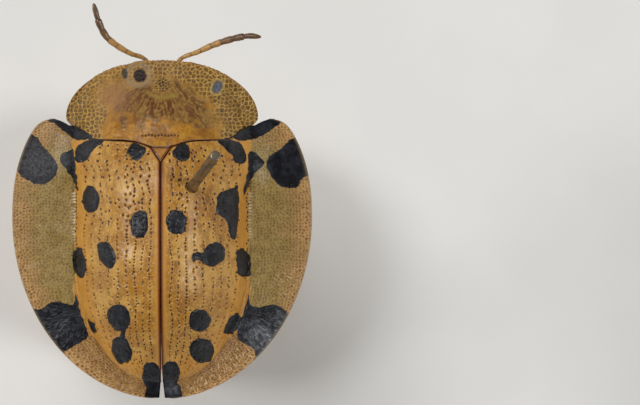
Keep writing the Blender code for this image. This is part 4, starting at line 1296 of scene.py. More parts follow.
def scutellum():
    along = np.linspace(0.0, 1.0, SCUTELLUM_POINTS)[:, None]
    across = np.linspace(-1.0, 1.0, SCUTELLUM_POINTS)[None, :]
    y = SCUTELLUM_FRONT_Y + 0.02 - (SCUTELLUM_FRONT_Y - SCUTELLUM_TIP_Y + 0.02) * along + 0 * across
    half = (SCUTELLUM_NOTCH_X - 0.02) * (1.0 - along) + 0.01
    x = across * half
    inset = half - np.abs(x)
    z = elytra_top(x, y) + 0.02 + 0.03 * smoothstep(inset / 0.08) + 0.01 * (noise(x, y, 0.06, 81) - 0.5)
    upper = np.stack([x, y, z], axis=2)
    lower = upper - np.array([0.0, 0.0, 0.3])
    outline = np.maximum(bell(inset - 0.04, 0.035), bell(SCUTELLUM_FRONT_Y + 0.02 - y, 0.05))
    fields = amber_fields(x.shape, suture=0.9 * outline, mottled=0.25, glow=0.8)
    return plate(upper, lower[::2, ::2], fields)


mesh_piece("scutellum_plate", *scutellum(), amber, ("scutellum",), "shell")

# %% [markdown]
# ## The underside
# The trunk is one skin, so the prothorax, thorax and abdomen meet in grooves and not in gaps. Its lower face
# is a relief map: each plate swells between its sutures, the five belly plates lap like tiles towards the
# rear, a socket takes the head, and in front the skin rises to the netted shelf of the pronotum. The dark
# swellings at its sides stand for the bulbs under the shoulders of the wing cases.

# %% Outline of the trunk
TRUNK_ROWS = 341
TRUNK_COLUMNS = 201
TRUNK_FRONT_Y = 5.0
TRUNK_REAR_Y = -4.50
VENTRAL_Z = 13.80
VENTRAL_RISE = 0.40
INNER_SHRINK = 1.22
INNER_DROP = 0.74
PROTHORAX_HALF_WIDTH = 2.75
PROTHORAX_WIDEST_Y = 3.00
PROTHORAX_FRONT_REACH = 2.10
ABDOMEN_REAR_REACH = 4.40
ABDOMEN_CORNER_POWER = 3.2
BELLY_EDGES = (-1.28, -2.22, -2.87, -3.42, -3.94, -4.50)
SUTURES = (
    ((0.26, 2.28), (1.20, 2.50), (2.10, 2.95), (2.80, 3.30)),
    ((0.00, 2.08), (0.30, 2.12), (0.58, 1.92), (0.46, 1.52), (0.00, 1.22)),
    ((0.58, 1.92), (1.30, 2.10), (1.95, 2.60)),
    ((1.30, 2.10), (1.62, 1.45), (2.02, 0.60), (2.20, -0.40), (2.22, -1.25)),
    ((2.30, 2.55), (2.50, 1.20), (2.56, -1.20)),
    ((2.22, 1.72), (2.50, 1.66)),
    ((0.00, -1.12), (0.45, -1.05), (1.00, -1.24), (2.20, -1.22)),
    ((0.46, 1.52), (0.95, 0.78), (1.45, 1.15), (1.62, 1.45)),
    ((1.74, 2.42), (1.86, 1.90), (1.98, 1.30)),
    ((2.14, 2.45), (2.20, 1.70), (2.34, 0.90)),
)
HIPS = ((0.48, 2.62, 0.36), (0.88, 1.22, 0.42), (1.05, -1.50, 0.42))
METASTERNUM_BLACK = ((-1.0, 0.18), (0.10, 0.16), (0.42, 0.12), (0.75, 0.42), (1.30, 0.52), (1.92, 0.32),
                     (2.12, -0.10), (1.92, -0.62), (1.30, -0.98), (0.60, -1.10), (-1.0, -1.14))
KEEL_ARM = ((0.10, 2.75), (0.70, 3.26))
TUCKED_LEG = ((0.9, 3.05), (2.6, 3.75))
LADDER_PITCH = 0.125
BULB_RADIUS = 0.46


def trunk_half_width(y):
    behind = np.clip(DOME_TURN_Y - y, 0.0, None) * INNER_SHRINK / DOME_REAR_REACH
    inside = np.clip(1.0 - behind ** DOME_PLAN_POWER, 0.0, 1.0) ** (1.0 / DOME_PLAN_POWER)
    return DOME_HALF_WIDTH / INNER_SHRINK * inside


def lower_half_width(y):
    ahead = np.clip(y - PROTHORAX_WIDEST_Y, 0.0, None) / PROTHORAX_FRONT_REACH
    behind = np.clip(DOME_TURN_Y - y, 0.0, None) / ABDOMEN_REAR_REACH
    rear = (1.0 - behind ** ABDOMEN_CORNER_POWER) ** (1.0 / ABDOMEN_CORNER_POWER)
    return PROTHORAX_HALF_WIDTH * np.sqrt(np.clip(1.0 - ahead ** 2, 0.0, 1.0)) * rear


def inner_top(x, y):
    turned = np.where(y < DOME_TURN_Y, DOME_TURN_Y + (y - DOME_TURN_Y) * INNER_SHRINK, y)
    behind = elytra_top(x * INNER_SHRINK, turned)
    return np.where(y > EDGE_Y, pronotum_top(x * INNER_SHRINK, y), behind) - INNER_DROP


def belly_tiles(y):
    """Each belly plate's swelling, and a mark on the seam at its rear."""
    swell, seam = np.zeros(y.shape), np.zeros(y.shape)
    for front, rear in zip(BELLY_EDGES[:-1], BELLY_EDGES[1:]):
        share = np.clip((front - y) / (front - rear), 0.0, 1.0)
        inside = (y <= front) & (y > rear)
        swell = np.where(inside, 0.03 + 0.07 * share - 0.10 * smoothstep((share - 0.93) / 0.07), swell)
        seam = np.maximum(seam, bell(y - rear, 0.022))
    return swell, seam


print("belly plates", len(BELLY_EDGES) - 1, "and sutures on each side", len(SUTURES))


# %% Places and marks on the trunk
def trunk_places():
    along = np.linspace(0.0, 1.0, TRUNK_ROWS)[:, None]
    across = np.linspace(-1.0, 1.0, TRUNK_COLUMNS)[None, :]
    y = TRUNK_FRONT_Y + (TRUNK_REAR_Y - TRUNK_FRONT_Y) * along + 0 * across
    x = across * lower_half_width(y)
    body = SimpleNamespace(x=x, y=y, wide=np.abs(x), across=0 * y + across)
    body.wander = (noise(x, y, 0.35, 91) - 0.5) * 0.05
    body.drift_x = x + (noise(x, y, 0.62, 96) - 0.5) * 1.1
    body.drift_y = y + (noise(x, y, 0.54, 97) - 0.5) * 1.1
    body.fade = smoothstep((lower_half_width(y) - body.wide) / 0.25)
    body.from_head = np.hypot(x / 0.98, (y - 4.36) / 1.12)
    body.socket = smoothstep((1.06 - body.from_head) / 0.12)
    ahead = np.clip(y - PROTHORAX_WIDEST_Y, 0.0, None) / PROTHORAX_FRONT_REACH
    body.outward = np.hypot(x / PROTHORAX_HALF_WIDTH, ahead)
    return body


def add_plates(body):
    """Adds the grooves between the plates, the belly's tiles, the pore by the head and the netted shelf."""
    x, y, wide, wander = body.x, body.y, body.wide, body.wander
    body.groove = bell(nearest_line(wide, y + wander, SUTURES), 0.038)
    body.crown = 1.0 - bell(nearest_line(wide, y, SUTURES), 0.30)
    body.belly = smoothstep((-1.25 - y) / 0.1)
    body.swell, body.seam = belly_tiles(y + wander * 0.6 + 0.05 * (x / 2.5) ** 2)
    body.pore = np.hypot(wide - 1.75, y - 4.02)
    shelf = smoothstep((body.outward - 0.83 + wander) / 0.08) * smoothstep((y - 3.4) / 0.3)
    body.shelf = shelf * (1 - body.socket)
    body.shelf_net, _, _ = netted(x + wander, y, PRONOTUM_CELL, 0.064, 98)


def add_dark_parts(body):
    """Adds the black breast with its ladder, the violet keel with two arms, the bulbs and the belly's stains."""
    x, y, wide = body.x, body.y, body.wide
    body.black = smoothstep(outline_depth(wide, y + body.wander, METASTERNUM_BLACK) / 0.10 + 0.5)
    keel = bell(x, 0.26) * smoothstep((y - 2.2) / 0.2) * smoothstep((3.3 - y) / 0.2)
    body.keel = np.maximum(keel, bell(line_distance(wide, y, KEEL_ARM), 0.17))
    body.midline = bell(x, 0.08) * smoothstep((0.4 - y) / 0.1) * smoothstep((y + 1.1) / 0.1)
    body.rungs = np.sin(y * 2 * math.pi / LADDER_PITCH)
    body.tread = body.midline * smoothstep(0.5 + 0.9 * body.rungs)
    body.bulb_mm = BULB_RADIUS - np.hypot(wide - 2.42, (y - 2.72) * 0.80)
    stain = smoothstep(noise(body.drift_x, body.drift_y, 0.55, 95) * 1.5 - 0.45)
    body.stain = stain * (0.5 + 0.5 * smoothstep((wide - 0.5) / 0.8))


# %% Relief of the trunk
def trunk_relief(body):
    """How far each point stands below the plain lower face, in mm."""
    x, y, wide = body.x, body.y, body.wide
    down = 0.14 * body.crown * (y > -1.25) + body.swell * (0.4 + 0.6 * body.fade) - 0.07 * body.groove
    down += 0.10 * body.black - 0.03 * body.seam + 0.16 * body.keel
    down += 0.05 * bell(body.pore - 0.16, 0.05) - 0.12 * bell(body.pore, 0.09)
    rough = 0.05 + 0.06 * smoothstep((y - 3.4) / 0.3)
    down += rough * (noise(body.drift_x, body.drift_y, 0.30, 92) - 0.5) + 0.012 * (noise(x, y, 0.08, 93) - 0.5)
    down += body.midline * (0.03 + 0.03 * body.rungs) - 0.06 * bell(wide - 0.14, 0.05) * (body.midline > 0.01)
    for hip_x, hip_y, reach in HIPS:
        down -= 0.10 * bell(np.hypot(wide - hip_x, y - hip_y) / reach, 0.8)
    return down


def trunk_z(body):
    """The lower face: it tucks in over the front legs, opens for the head and blends up to the pronotum."""
    x, y, outside = body.x, body.y, 1 - body.socket
    z = VENTRAL_Z + VENTRAL_RISE * (x * INNER_SHRINK / DOME_HALF_WIDTH) ** 2 - trunk_relief(body) * outside
    z += 0.22 * bell(line_distance(body.wide, y, TUCKED_LEG), 0.28) * outside + 0.7 * body.socket
    z += 0.14 * (1.0 - body.fade) ** 2
    z -= 0.20 * np.sqrt(np.clip(body.bulb_mm / BULB_RADIUS, 0.0, 1.0)) * outside
    blend = smoothstep((body.outward - 0.60) / 0.40) * smoothstep((y - 3.1) / 0.7)
    z += (inner_top(x, y) - 0.15 - z) * 0.65 * blend * outside
    return z - 0.05 * bell(body.from_head - 1.13, 0.05) * (y > 3.4) - 0.008 * body.shelf * body.shelf_net


# %% Colour of the trunk
def trunk_fields(body):
    x, y, wide, outside = body.x, body.y, body.wide, 1 - body.socket
    glow = bell(np.hypot(x / 0.75, (y - 0.75) / 0.8), 1.0)
    glow = np.maximum(glow, bell(np.hypot(x / 0.6, (y + 1.9) / 0.7), 1.0))
    glow = np.maximum(glow, 0.85 * bell(np.hypot(x, (y - 1.70) * 1.2), 0.55))
    glow = np.maximum(glow, 0.95 * smoothstep((y - 3.35) / 0.4) * outside)
    # a pale rim at the rear of the belly with a painted highlight, and pale crests of the belly plates, which are
    # painted highlights
    pale = 0.9 * bell(y - TRUNK_REAR_Y - 0.03, 0.04) + 0.3 * bell(body.swell - 0.09, 0.012) * body.belly
    cloudy = 0.20 + 0.9 * noise(body.drift_x, body.drift_y, 0.35, 94)
    pale = np.maximum(pale, smoothstep((y - 3.5) / 0.4) * cloudy * outside) * (1 - 0.7 * body.shelf)
    # pale tops of the ladder's rungs: painted highlights
    pale = np.maximum(pale, 0.35 * body.tread)
    # pale edges beside the sutures: painted highlights on their ridges
    pale = np.maximum(pale, 0.35 * bell(body.groove - 0.35, 0.15) * (y > -1.2))
    mottled = 0.40 + 0.30 * body.belly + 0.30 * body.belly * body.stain
    suture = np.maximum(body.groove * (y > -1.3), 0.8 * body.seam * body.fade) + 0.6 * body.socket
    suture += 0.8 * bell(body.pore, 0.09) + 0.30 * bell(body.pore - 0.24, 0.10)
    suture += 0.60 * body.shelf * (1 - body.shelf_net)
    # the first factor lightens the black on the rungs' tops, the same painted highlights
    black = body.black * (1 - 0.75 * body.tread) * (1 - 0.16 * bell(wide, 0.42))
    return amber_fields(
        x.shape, glow=0.9 * glow * (1 - body.black) * (1 - 0.7 * body.shelf), pale=pale,
        mottled=mottled * (1 - 0.3 * smoothstep((y - 3.4) / 0.4)), suture=np.clip(suture, 0, 1),
        violet=np.maximum(0.95 * body.keel * outside, 0.18 * body.belly * body.stain),
        dark=np.maximum(black, smoothstep(body.bulb_mm / 0.10 + 0.5)),
        red=0.8 * bell(wide - 0.20, 0.22) * (y < 0.5) + 0.4 * bell(wide - 1.9, 0.25))


def trunk():
    body = trunk_places()
    add_plates(body)
    add_dark_parts(body)
    lower = np.stack([body.x, body.y, trunk_z(body)], axis=2)
    upper_y = body.y[::2, ::2]
    upper_x = body.across[::2, ::2] * np.minimum(trunk_half_width(upper_y), lower_half_width(upper_y))
    upper = np.stack([upper_x, upper_y, inner_top(upper_x, upper_y)], axis=2)
    return plate(lower, upper, trunk_fields(body))


trunk_nodes = ["prothorax", "thorax"] + [f"sternite_{number}" for number in range(1, 6)]
mesh_piece("trunk", *trunk(), amber, trunk_nodes, "underside")

# %% [markdown]
# ## The head
# From below the head is the face: two long compound eyes at the sides, the frons between them, the arched
# clypeus under the feelers' sockets, the dark mouth with its jaws, and the curved cheeks that fold round
# it. It is an oval whose poles hide under the eyes, pushed in and out along these lines.

# %% Head
HEAD_CENTRE = (0.0, 4.36, 14.38)
HEAD_RADII = (0.86, 1.02, 0.66)
HEAD_RINGS = 161
HEAD_SIDES = 240
CLYPEUS_ARCH = ((0.42, 4.04), (0.36, 4.20), (0.22, 4.32), (0.0, 4.36))
CHEEK_FOLDS = (
    ((0.0, 3.62), (0.30, 3.68), (0.52, 3.90), (0.62, 4.25)),
    ((0.0, 3.47), (0.36, 3.54), (0.64, 3.80), (0.76, 4.20)),
)
SOCKET_PLACE = (0.17, 4.98)
MOUTH_PLACE = (0.0, 3.74)


def head():
    turn = np.linspace(0.02, math.pi - 0.02, HEAD_RINGS)[:, None]
    around = np.linspace(0.0, 2 * math.pi, HEAD_SIDES, endpoint=False)[None, :]
    poles = np.cos(turn) + 0 * around
    unit = np.stack([poles, np.sin(turn) * np.cos(around), np.sin(turn) * np.sin(around)], axis=2)
    points = unit * np.array(HEAD_RADII) + np.array(HEAD_CENTRE)
    x, y, face = points[..., 0], points[..., 1], smoothstep((14.45 - points[..., 2]) / 0.3)
    wide = np.abs(x)
    arch = bell(line_distance(wide, y, CLYPEUS_ARCH), 0.030)
    folds = bell(nearest_line(wide, y, CHEEK_FOLDS), 0.030)
    socket = np.hypot(wide - SOCKET_PLACE[0], y - SOCKET_PLACE[1])
    mouth = bell(np.hypot((x - MOUTH_PLACE[0]) / 1.2, y - MOUTH_PLACE[1]), 0.25)
    clypeus = smoothstep((0.42 - np.hypot(x, (y - 4.02) * 1.05)) / 0.12)
    frons_line = bell(x, 0.020) * smoothstep((y - 4.45) / 0.1) * smoothstep((4.95 - y) / 0.1)
    gap, _, mark = scattered(x, y, (0.09, 0.09), 0.8, 101)
    puncture = np.exp(-(gap / 0.020) ** 4) * (mark < 0.5) * smoothstep((y - 4.3) / 0.1)
    lift = 0.03 * clypeus - 0.035 * arch - 0.045 * folds - 0.14 * mouth - 0.02 * frons_line - 0.018 * puncture
    lift += 0.05 * bell(socket - 0.13, 0.035) - 0.09 * bell(socket, 0.09) + 0.02 * (noise(x, y, 0.12, 102) - 0.5)
    lift += 0.04 * bell(line_distance(wide, y, CHEEK_FOLDS[1]) - 0.09, 0.05)
    sutures = 0.8 * arch + 0.7 * folds + 0.5 * bell(socket, 0.10) + 0.6 * puncture + 0.4 * frons_line
    values = {
        "glow": 0.35 * clypeus, "pale": 0.42 * smoothstep((y - 4.30) / 0.2) * face, "mottled": 0.55 + 0 * x,
        "dark": 0.9 * bell(mouth - 1.0, 0.5) * face, "red": bell(mouth - 0.5, 0.3),
        "suture": np.clip(sutures, 0, 1) * face,
    }
    points += unit * (lift * face)[..., None]
    fields = amber_fields((2 + x.size,))
    for key, value in values.items():
        fields[key][1:-1] = value.ravel()
    return (*closed_tube(points, points[0].mean(axis=0), points[-1].mean(axis=0)), fields)


mesh_piece("face", *head(), amber, ("head",), "underside")

# %% [markdown]
# A compound eye is a dome of tiny lenses. The real lenses are about 0.02 mm across. They are drawn at
# 0.045 mm, so that each is a real bump on the mesh. Dry eyes turn a clouded grey.

# %% Eyes
EYE_CENTRE = (0.64, 4.68, 14.20)
EYE_RADII = (0.29, 0.58, 0.41)
EYE_LEAN = math.radians(11)
EYE_RINGS = 97
EYE_SIDES = 128
LENS_SIZE = 0.045


def clouded_eye():
    material, tree, shader = new_material("clouded_compound_eye")
    colour = layered(tree, "#262422", ((patchy(tree, 0.25), 0.35, 0.65), 1, "#56524C"), ("rim", 1, "#2A1A10"))
    bumps = relief(tree, patchy(tree, 0.02, 1.0), 0.2, 0.01)
    fill(tree, shader, {"Base Color": colour, "Roughness": 0.22, "IOR": HORN_IOR, "Normal": bumps})
    return material


def eye(side):
    turn = np.linspace(0.03, math.pi - 0.03, EYE_RINGS)[:, None]
    around = np.linspace(0.0, 2 * math.pi, EYE_SIDES, endpoint=False)[None, :]
    poles = np.cos(turn) + 0 * around
    unit = np.stack([np.sin(turn) * np.cos(around), poles, np.sin(turn) * np.sin(around)], axis=2)
    points = unit * np.array(EYE_RADII)
    girth = np.arctan2(points[..., 2], points[..., 0]) * 0.33
    gap, _, _ = scattered(points[..., 1], girth, (LENS_SIZE, LENS_SIZE), 0.25, 111)
    points += unit * (0.008 * bell(gap, 0.02))[..., None]
    cosine, sine = math.cos(EYE_LEAN), side * math.sin(EYE_LEAN)
    points[..., :2] = points[..., :2] @ np.array(((cosine, sine), (-sine, cosine)))
    points += np.array((side * EYE_CENTRE[0], *EYE_CENTRE[1:]))
    rim = 0.8 * smoothstep((np.abs(unit[..., 1]) - 0.80) / 0.15)
    rim = np.concatenate([[0.0], rim.ravel(), [0.0]])
    return (*closed_tube(points, points[0].mean(axis=0), points[-1].mean(axis=0)), {"rim": rim})


eye_finish = clouded_eye()
for side, word in ((1, "right"), (-1, "left")):
    mesh_piece("compound_eye_" + word, *eye(side), eye_finish, ("eye_" + word,), "eye")

# %% [markdown]
# ## Limbs
# Every segment of a leg, palp or feeler is a tube whose radius swells and narrows along it, with rounded
# ends. A profile lists how far along and how thick, and a segment may sag a little between its ends.

# %% Segments
UP = (0.0, 0.0, 1.0)


def segment(start, end, profile, sides=28, steps=26, across=1.0, sag=0.0, groove=0.0, **given):
    """One rounded segment of a limb from start to end."""
    start, end = np.array(start, dtype=float), np.array(end, dtype=float)
    share = 0.5 - 0.5 * np.cos(np.linspace(0.0, math.pi, steps + 2))[1:-1]
    places, sizes = zip(*profile)
    radii = np.interp(share, places, sizes)
    radii = np.convolve(np.pad(radii, 2, mode="edge"), np.ones(5) / 5, mode="valid")
    round_end = np.minimum(np.minimum(share, 1.0 - share) * np.linalg.norm(end - start) / 0.11, 1.0)
    radii = radii * np.sqrt(1.0 - (1.0 - round_end) ** 2)
    line = start + (end - start) * share[:, None]
    line[:, 2] -= sag * np.sin(math.pi * share)
    turn = np.linspace(0.0, 2 * math.pi, sides, endpoint=False)[None, :]
    lift = groove * radii[:, None] * (np.abs(np.cos(2 * turn)) - 0.6)
    points = rings(line, radii, UP, sides, across, lift)
    points, faces = closed_tube(points, start, end)
    ends = np.concatenate([[1.0], np.repeat(bell(np.minimum(share, 1 - share), 0.05), sides), [1.0]])
    fields = amber_fields((len(points),), suture=0.45 * ends, **given)
    return points, faces, fields


# %% [markdown]
# A leg is folded against the body. The hip ball sits in its socket, a small ring joins it to the thick,
# glossy thigh, the shin is grooved and widens to its end, and the foot has three padded lobes, a claw
# joint and two claws.

# %% Legs
LEG_POINTS = {
    "leg_front_right": ((0.48, 2.62, 13.50), (2.75, 4.02, 13.62), (0.92, 3.42, 13.30), (0.42, 3.05, 13.22)),
    "leg_front_left": ((-0.48, 2.62, 13.50), (-3.10, 3.45, 13.62), (-0.98, 3.40, 13.30), (-0.42, 3.05, 13.22)),
    "leg_mid_right": ((0.88, 1.22, 13.50), (3.50, 0.78, 13.62), (1.78, -0.50, 13.25), (2.62, -1.35, 12.72)),
    "leg_mid_left": ((-0.88, 1.22, 13.50), (-3.45, -0.80, 13.62), (-1.32, -0.72, 13.25), (-1.62, -2.05, 12.72)),
    "leg_hind_right": ((1.05, -1.42, 13.50), (3.45, -1.30, 13.62), (1.45, -2.72, 13.30), (1.75, -3.55, 13.20)),
    "leg_hind_left": ((-1.05, -1.62, 13.50), (-3.25, -3.72, 13.62), (-0.95, -3.12, 13.30), (-0.85, -4.45, 13.20)),
}
FEMUR_PROFILE = ((0.0, 0.13), (0.15, 0.20), (0.45, 0.285), (0.75, 0.25), (0.92, 0.19), (1.0, 0.17))
TIBIA_PROFILE = ((0.0, 0.12), (0.10, 0.16), (0.55, 0.17), (0.88, 0.205), (1.0, 0.18))
LOBE_PROFILE = ((0.0, 0.08), (0.5, 0.15), (0.85, 0.21), (1.0, 0.17))
CLAW_JOINT_PROFILE = ((0.0, 0.06), (0.7, 0.08), (1.0, 0.09))
CLAW_PROFILE = ((0.0, 0.035), (0.5, 0.028), (1.0, 0.008))
HIP_PROFILE = ((0.0, 0.20), (0.25, 0.27), (0.5, 0.25), (0.75, 0.27), (1.0, 0.20))
RING_PROFILE = ((0.0, 0.14), (0.5, 0.20), (1.0, 0.14))
LOBE_ENDS = (0.0, 0.22, 0.42, 0.70)
# the pads of the middle and hind feet are paler than those of the front feet
FRONT_FOOT_PALE = 0.0
OTHER_FOOT_PALE = 0.35


def lifted(height):
    return np.array((0.0, 0.0, height))


def foot(ankle, toe, foot_pale):
    """Three padded lobes, a slender claw joint and two claws."""
    reach = toe - ankle
    aside = np.cross(reach, UP) / np.linalg.norm(np.cross(reach, UP))
    parts = []
    for start, end in zip(LOBE_ENDS[:-1], LOBE_ENDS[1:]):
        near, far = ankle + reach * (start - 0.04), ankle + reach * end
        looks = {"pale": foot_pale, "mottled": 0.35 - foot_pale, "glow": 0.3}
        parts.append(segment(near, far, LOBE_PROFILE, across=1.15, **looks))
    claw_root = ankle + reach * 0.92
    parts.append(segment(ankle + reach * 0.55, claw_root, CLAW_JOINT_PROFILE, sides=16, steps=14, glow=0.4))
    for lean in (-1.0, 1.0):
        tip = ankle + reach * 1.04 + aside * lean * 0.13 + lifted(0.04)
        start = claw_root + aside * lean * 0.02
        parts.append(segment(start, tip, CLAW_PROFILE, sides=12, steps=12, sag=-0.03, dark=0.5))
    return parts


def leg(points, foot_pale):
    hip, knee, ankle, toe = (np.array(point) for point in points)
    outward = (knee - hip) / np.linalg.norm(knee - hip)
    flat_out = outward * np.array((1.0, 1.0, 0.0))
    root = hip + lifted(-0.10)
    inner = hip - flat_out * 0.40 + lifted(0.08)
    hip_ball = segment(inner, hip + flat_out * 0.38, HIP_PROFILE, across=1.2, mottled=0.5)
    ring = segment(hip + flat_out * 0.12 + lifted(-0.08), root + outward * 0.50, RING_PROFILE, glow=0.2)
    thigh = segment(root + outward * 0.30, knee + outward * 0.12, FEMUR_PROFILE, sides=36, steps=44, glow=0.15)
    shin = segment(knee + outward * 0.02, ankle, TIBIA_PROFILE, sides=36, steps=44, across=0.85, groove=0.16)
    return joined_parts([hip_ball, ring, thigh, shin] + foot(ankle, toe, foot_pale))


for node, points in LEG_POINTS.items():
    foot_pale = FRONT_FOOT_PALE if "front" in node else OTHER_FOOT_PALE
    mesh_piece(node + "_limb", *leg(points, foot_pale), amber, (node,), "limb")

# %% [markdown]
# The jaws and palps close the mouth: a lip plate over two blunt dark jaws, with a bent, three-jointed palp
# at each side.

# %% Mouthparts
PALP_POINTS = ((0.20, 3.74, 13.74), (0.33, 3.90, 13.58), (0.26, 4.08, 13.54), (0.13, 4.16, 13.54))
PALP_PROFILE = ((0.0, 0.05), (0.5, 0.075), (1.0, 0.06))
JAW_PROFILE = ((0.0, 0.14), (0.5, 0.15), (1.0, 0.08))
LIP_PROFILE = ((0.0, 0.05), (0.5, 0.10), (1.0, 0.05))
CHIN_PROFILE = ((0.0, 0.08), (0.5, 0.14), (1.0, 0.08))


def mouthparts():
    parts = [segment((-0.20, 3.90, 13.72), (0.20, 3.90, 13.72), LIP_PROFILE, dark=0.88, red=1.0)]
    for side in (-1, 1):
        root, tip = (side * 0.29, 3.64, 13.82), (side * 0.01, 3.76, 13.70)
        parts.append(segment(root, tip, JAW_PROFILE, dark=1.0, red=0.5))
        joints = [(side * x, y, z) for x, y, z in PALP_POINTS]
        for start, end in zip(joints[:-1], joints[1:]):
            parts.append(segment(start, end, PALP_PROFILE, sides=16, steps=14, mottled=0.6))
    parts.append(segment((-0.30, 3.55, 13.86), (0.30, 3.55, 13.86), CHIN_PROFILE, violet=0.25, mottled=1.0))
    return joined_parts(parts)


mesh_piece("jaws_and_palps", *mouthparts(), amber, ("mouthparts",), "underside")

# %% [markdown]
# ## The feelers
# Each feeler has eleven joints: a stout first one, slender amber ones, and a slightly thicker, dusky club of
# the last four. Each joint narrows at its foot, and the whole is one tube with a finely uneven skin.

# %% Feelers
ANTENNA_POINTS = {
    "antenna_right": ((0.18, 5.02, 14.15), (0.30, 5.75, 13.98), (0.66, 6.53, 14.00), (1.34, 6.83, 14.10),
                      (2.03, 7.13, 14.20), (2.72, 7.34, 14.32), (3.30, 7.44, 14.42), (3.80, 7.40, 14.50)),
    "antenna_left": ((-0.18, 5.02, 14.15), (-0.30, 5.75, 13.98), (-0.66, 6.53, 14.00), (-1.24, 6.78, 14.10),
                     (-1.75, 7.08, 14.20), (-2.15, 7.42, 14.30), (-2.40, 7.87, 14.40), (-2.54, 8.31, 14.50),
                     (-2.64, 8.70, 14.58)),
}
ARTICLE_LENGTHS = (0.55, 0.26, 0.44, 0.40, 0.38, 0.38, 0.42, 0.40, 0.42, 0.44, 0.66)
ARTICLE_RADII = (0.115, 0.085, 0.085, 0.085, 0.090, 0.100, 0.120, 0.130, 0.135, 0.135, 0.115)
ARTICLE_RINGS = 18
FEELER_SIDES = 28
FIRST_DARK_ARTICLE = 7


def smooth_line(points, count):
    """Evenly spaced points on a smooth curve through the given ones."""
    given = np.array([points[0]] + list(points) + [points[-1]], dtype=float)
    dense = []
    for index in range(1, len(given) - 2):
        before, start, end, after = given[index - 1:index + 3]
        bend = 2 * before - 5 * start + 4 * end - after
        swing = 3 * start - before - 3 * end + after
        for share in np.linspace(0.0, 1.0, 24, endpoint=False):
            dense.append(0.5 * (2 * start + (end - before) * share + bend * share ** 2 + swing * share ** 3))
    dense.append(given[-2])
    return spread_evenly(np.array(dense), count)


def feeler(points, seed):
    lengths = np.array(ARTICLE_LENGTHS) / sum(ARTICLE_LENGTHS)
    starts = np.concatenate([[0.0], np.cumsum(lengths)])
    places, radii, dusky, joints = [], [], [], []
    for number, radius in enumerate(ARTICLE_RADII):
        share = np.linspace(0.0, 1.0, ARTICLE_RINGS, endpoint=False) + 0.5 / ARTICLE_RINGS
        last = number == len(ARTICLE_RADII) - 1
        waist = 0.0 if last else 0.10 * smoothstep((share - 0.9) / 0.1)
        shape = 0.84 + 0.16 * smoothstep(share / 0.6) - waist
        if last:
            shape = shape * np.sqrt(np.clip(1.0 - np.clip((share - 0.35) / 0.66, 0.0, 1.0) ** 1.8, 0.0, 1.0))
        places.append(starts[number] + share * lengths[number])
        radii.append(radius * shape)
        dusky.append(np.full(ARTICLE_RINGS, smoothstep((number - FIRST_DARK_ARTICLE + 0.7) / 2.2)))
        joints.append(bell(np.minimum(share, 1.0 - share), 0.09))
    places, radii, dusky, joints = (np.concatenate(values) for values in (places, radii, dusky, joints))
    dense = smooth_line(points, 600)
    line = np.stack([np.interp(places, np.linspace(0.0, 1.0, 600), dense[:, axis]) for axis in range(3)], axis=1)
    turn = np.linspace(0.0, 2 * math.pi, FEELER_SIDES, endpoint=False)[None, :]
    rough = (noise(places[:, None] * 5.0 + 0 * turn, turn * 0.12, 0.035, seed) - 0.5) * 0.014
    ring_points = rings(line, radii, UP, FEELER_SIDES, 1.0, rough * np.minimum(radii[:, None] / 0.1, 1.0))
    tube_points, faces = closed_tube(ring_points, dense[0], dense[-1] - (dense[-1] - dense[-4]) * 0.02)
    fields = amber_fields((len(tube_points),), glow=0.25)
    fields["violet"][1:-1] = 0.80 * np.repeat(dusky, FEELER_SIDES)
    fields["suture"][1:-1] = 0.6 * np.repeat(joints, FEELER_SIDES)
    fields["pale"][1:-1] = 0.35 * np.repeat(1.0 - dusky, FEELER_SIDES)
    fields["violet"][-1] = 0.8
    return tube_points, faces, fields


for seed, (node, points) in enumerate(ANTENNA_POINTS.items()):
    mesh_piece("feeler_" + node.split("_")[1], *feeler(points, 120 + seed), amber, (node,), "limb")

# %% [markdown]
# ## The pin
# An old insect pin is drawn steel wire, headless here, with a long point in the wood. It has lost its
# polish: most of it is a dull grey brown tarnish with a few brighter rubbed places. The wire keeps faint
# marks along its length from the drawing plate.

# %% Pin
PIN_SLOPE = (0.185, 0.225)
PIN_TOP_Z = 23.20
PIN_FOOT_Z = 1.20
PIN_POINT_LENGTH = 0.9
PIN_TOP_ROUND = 0.06
PIN_SIDES = 64


def tarnished_steel():
    material, tree, shader = new_material("tarnished_steel")
    tarnish = number(tree, (patchy(tree, 0.25, 4.0, (1, 1, 0.08)), 0.38, 0.62))
    fill(tree, shader, {
        "Base Color": layered(tree, "#8E8675", (tarnish, 1, "#5E4E38")),
        "Roughness": number(tree, (tarnish, 0.0, 1.0, 0.28, 0.48)),
        "Metallic": number(tree, (tarnish, 0.0, 1.0, 0.95, 0.60)),
        "Normal": relief(tree, patchy(tree, 0.05, 3.0, (1, 1, 0.05)), 0.2, 0.01),
    })
    return material


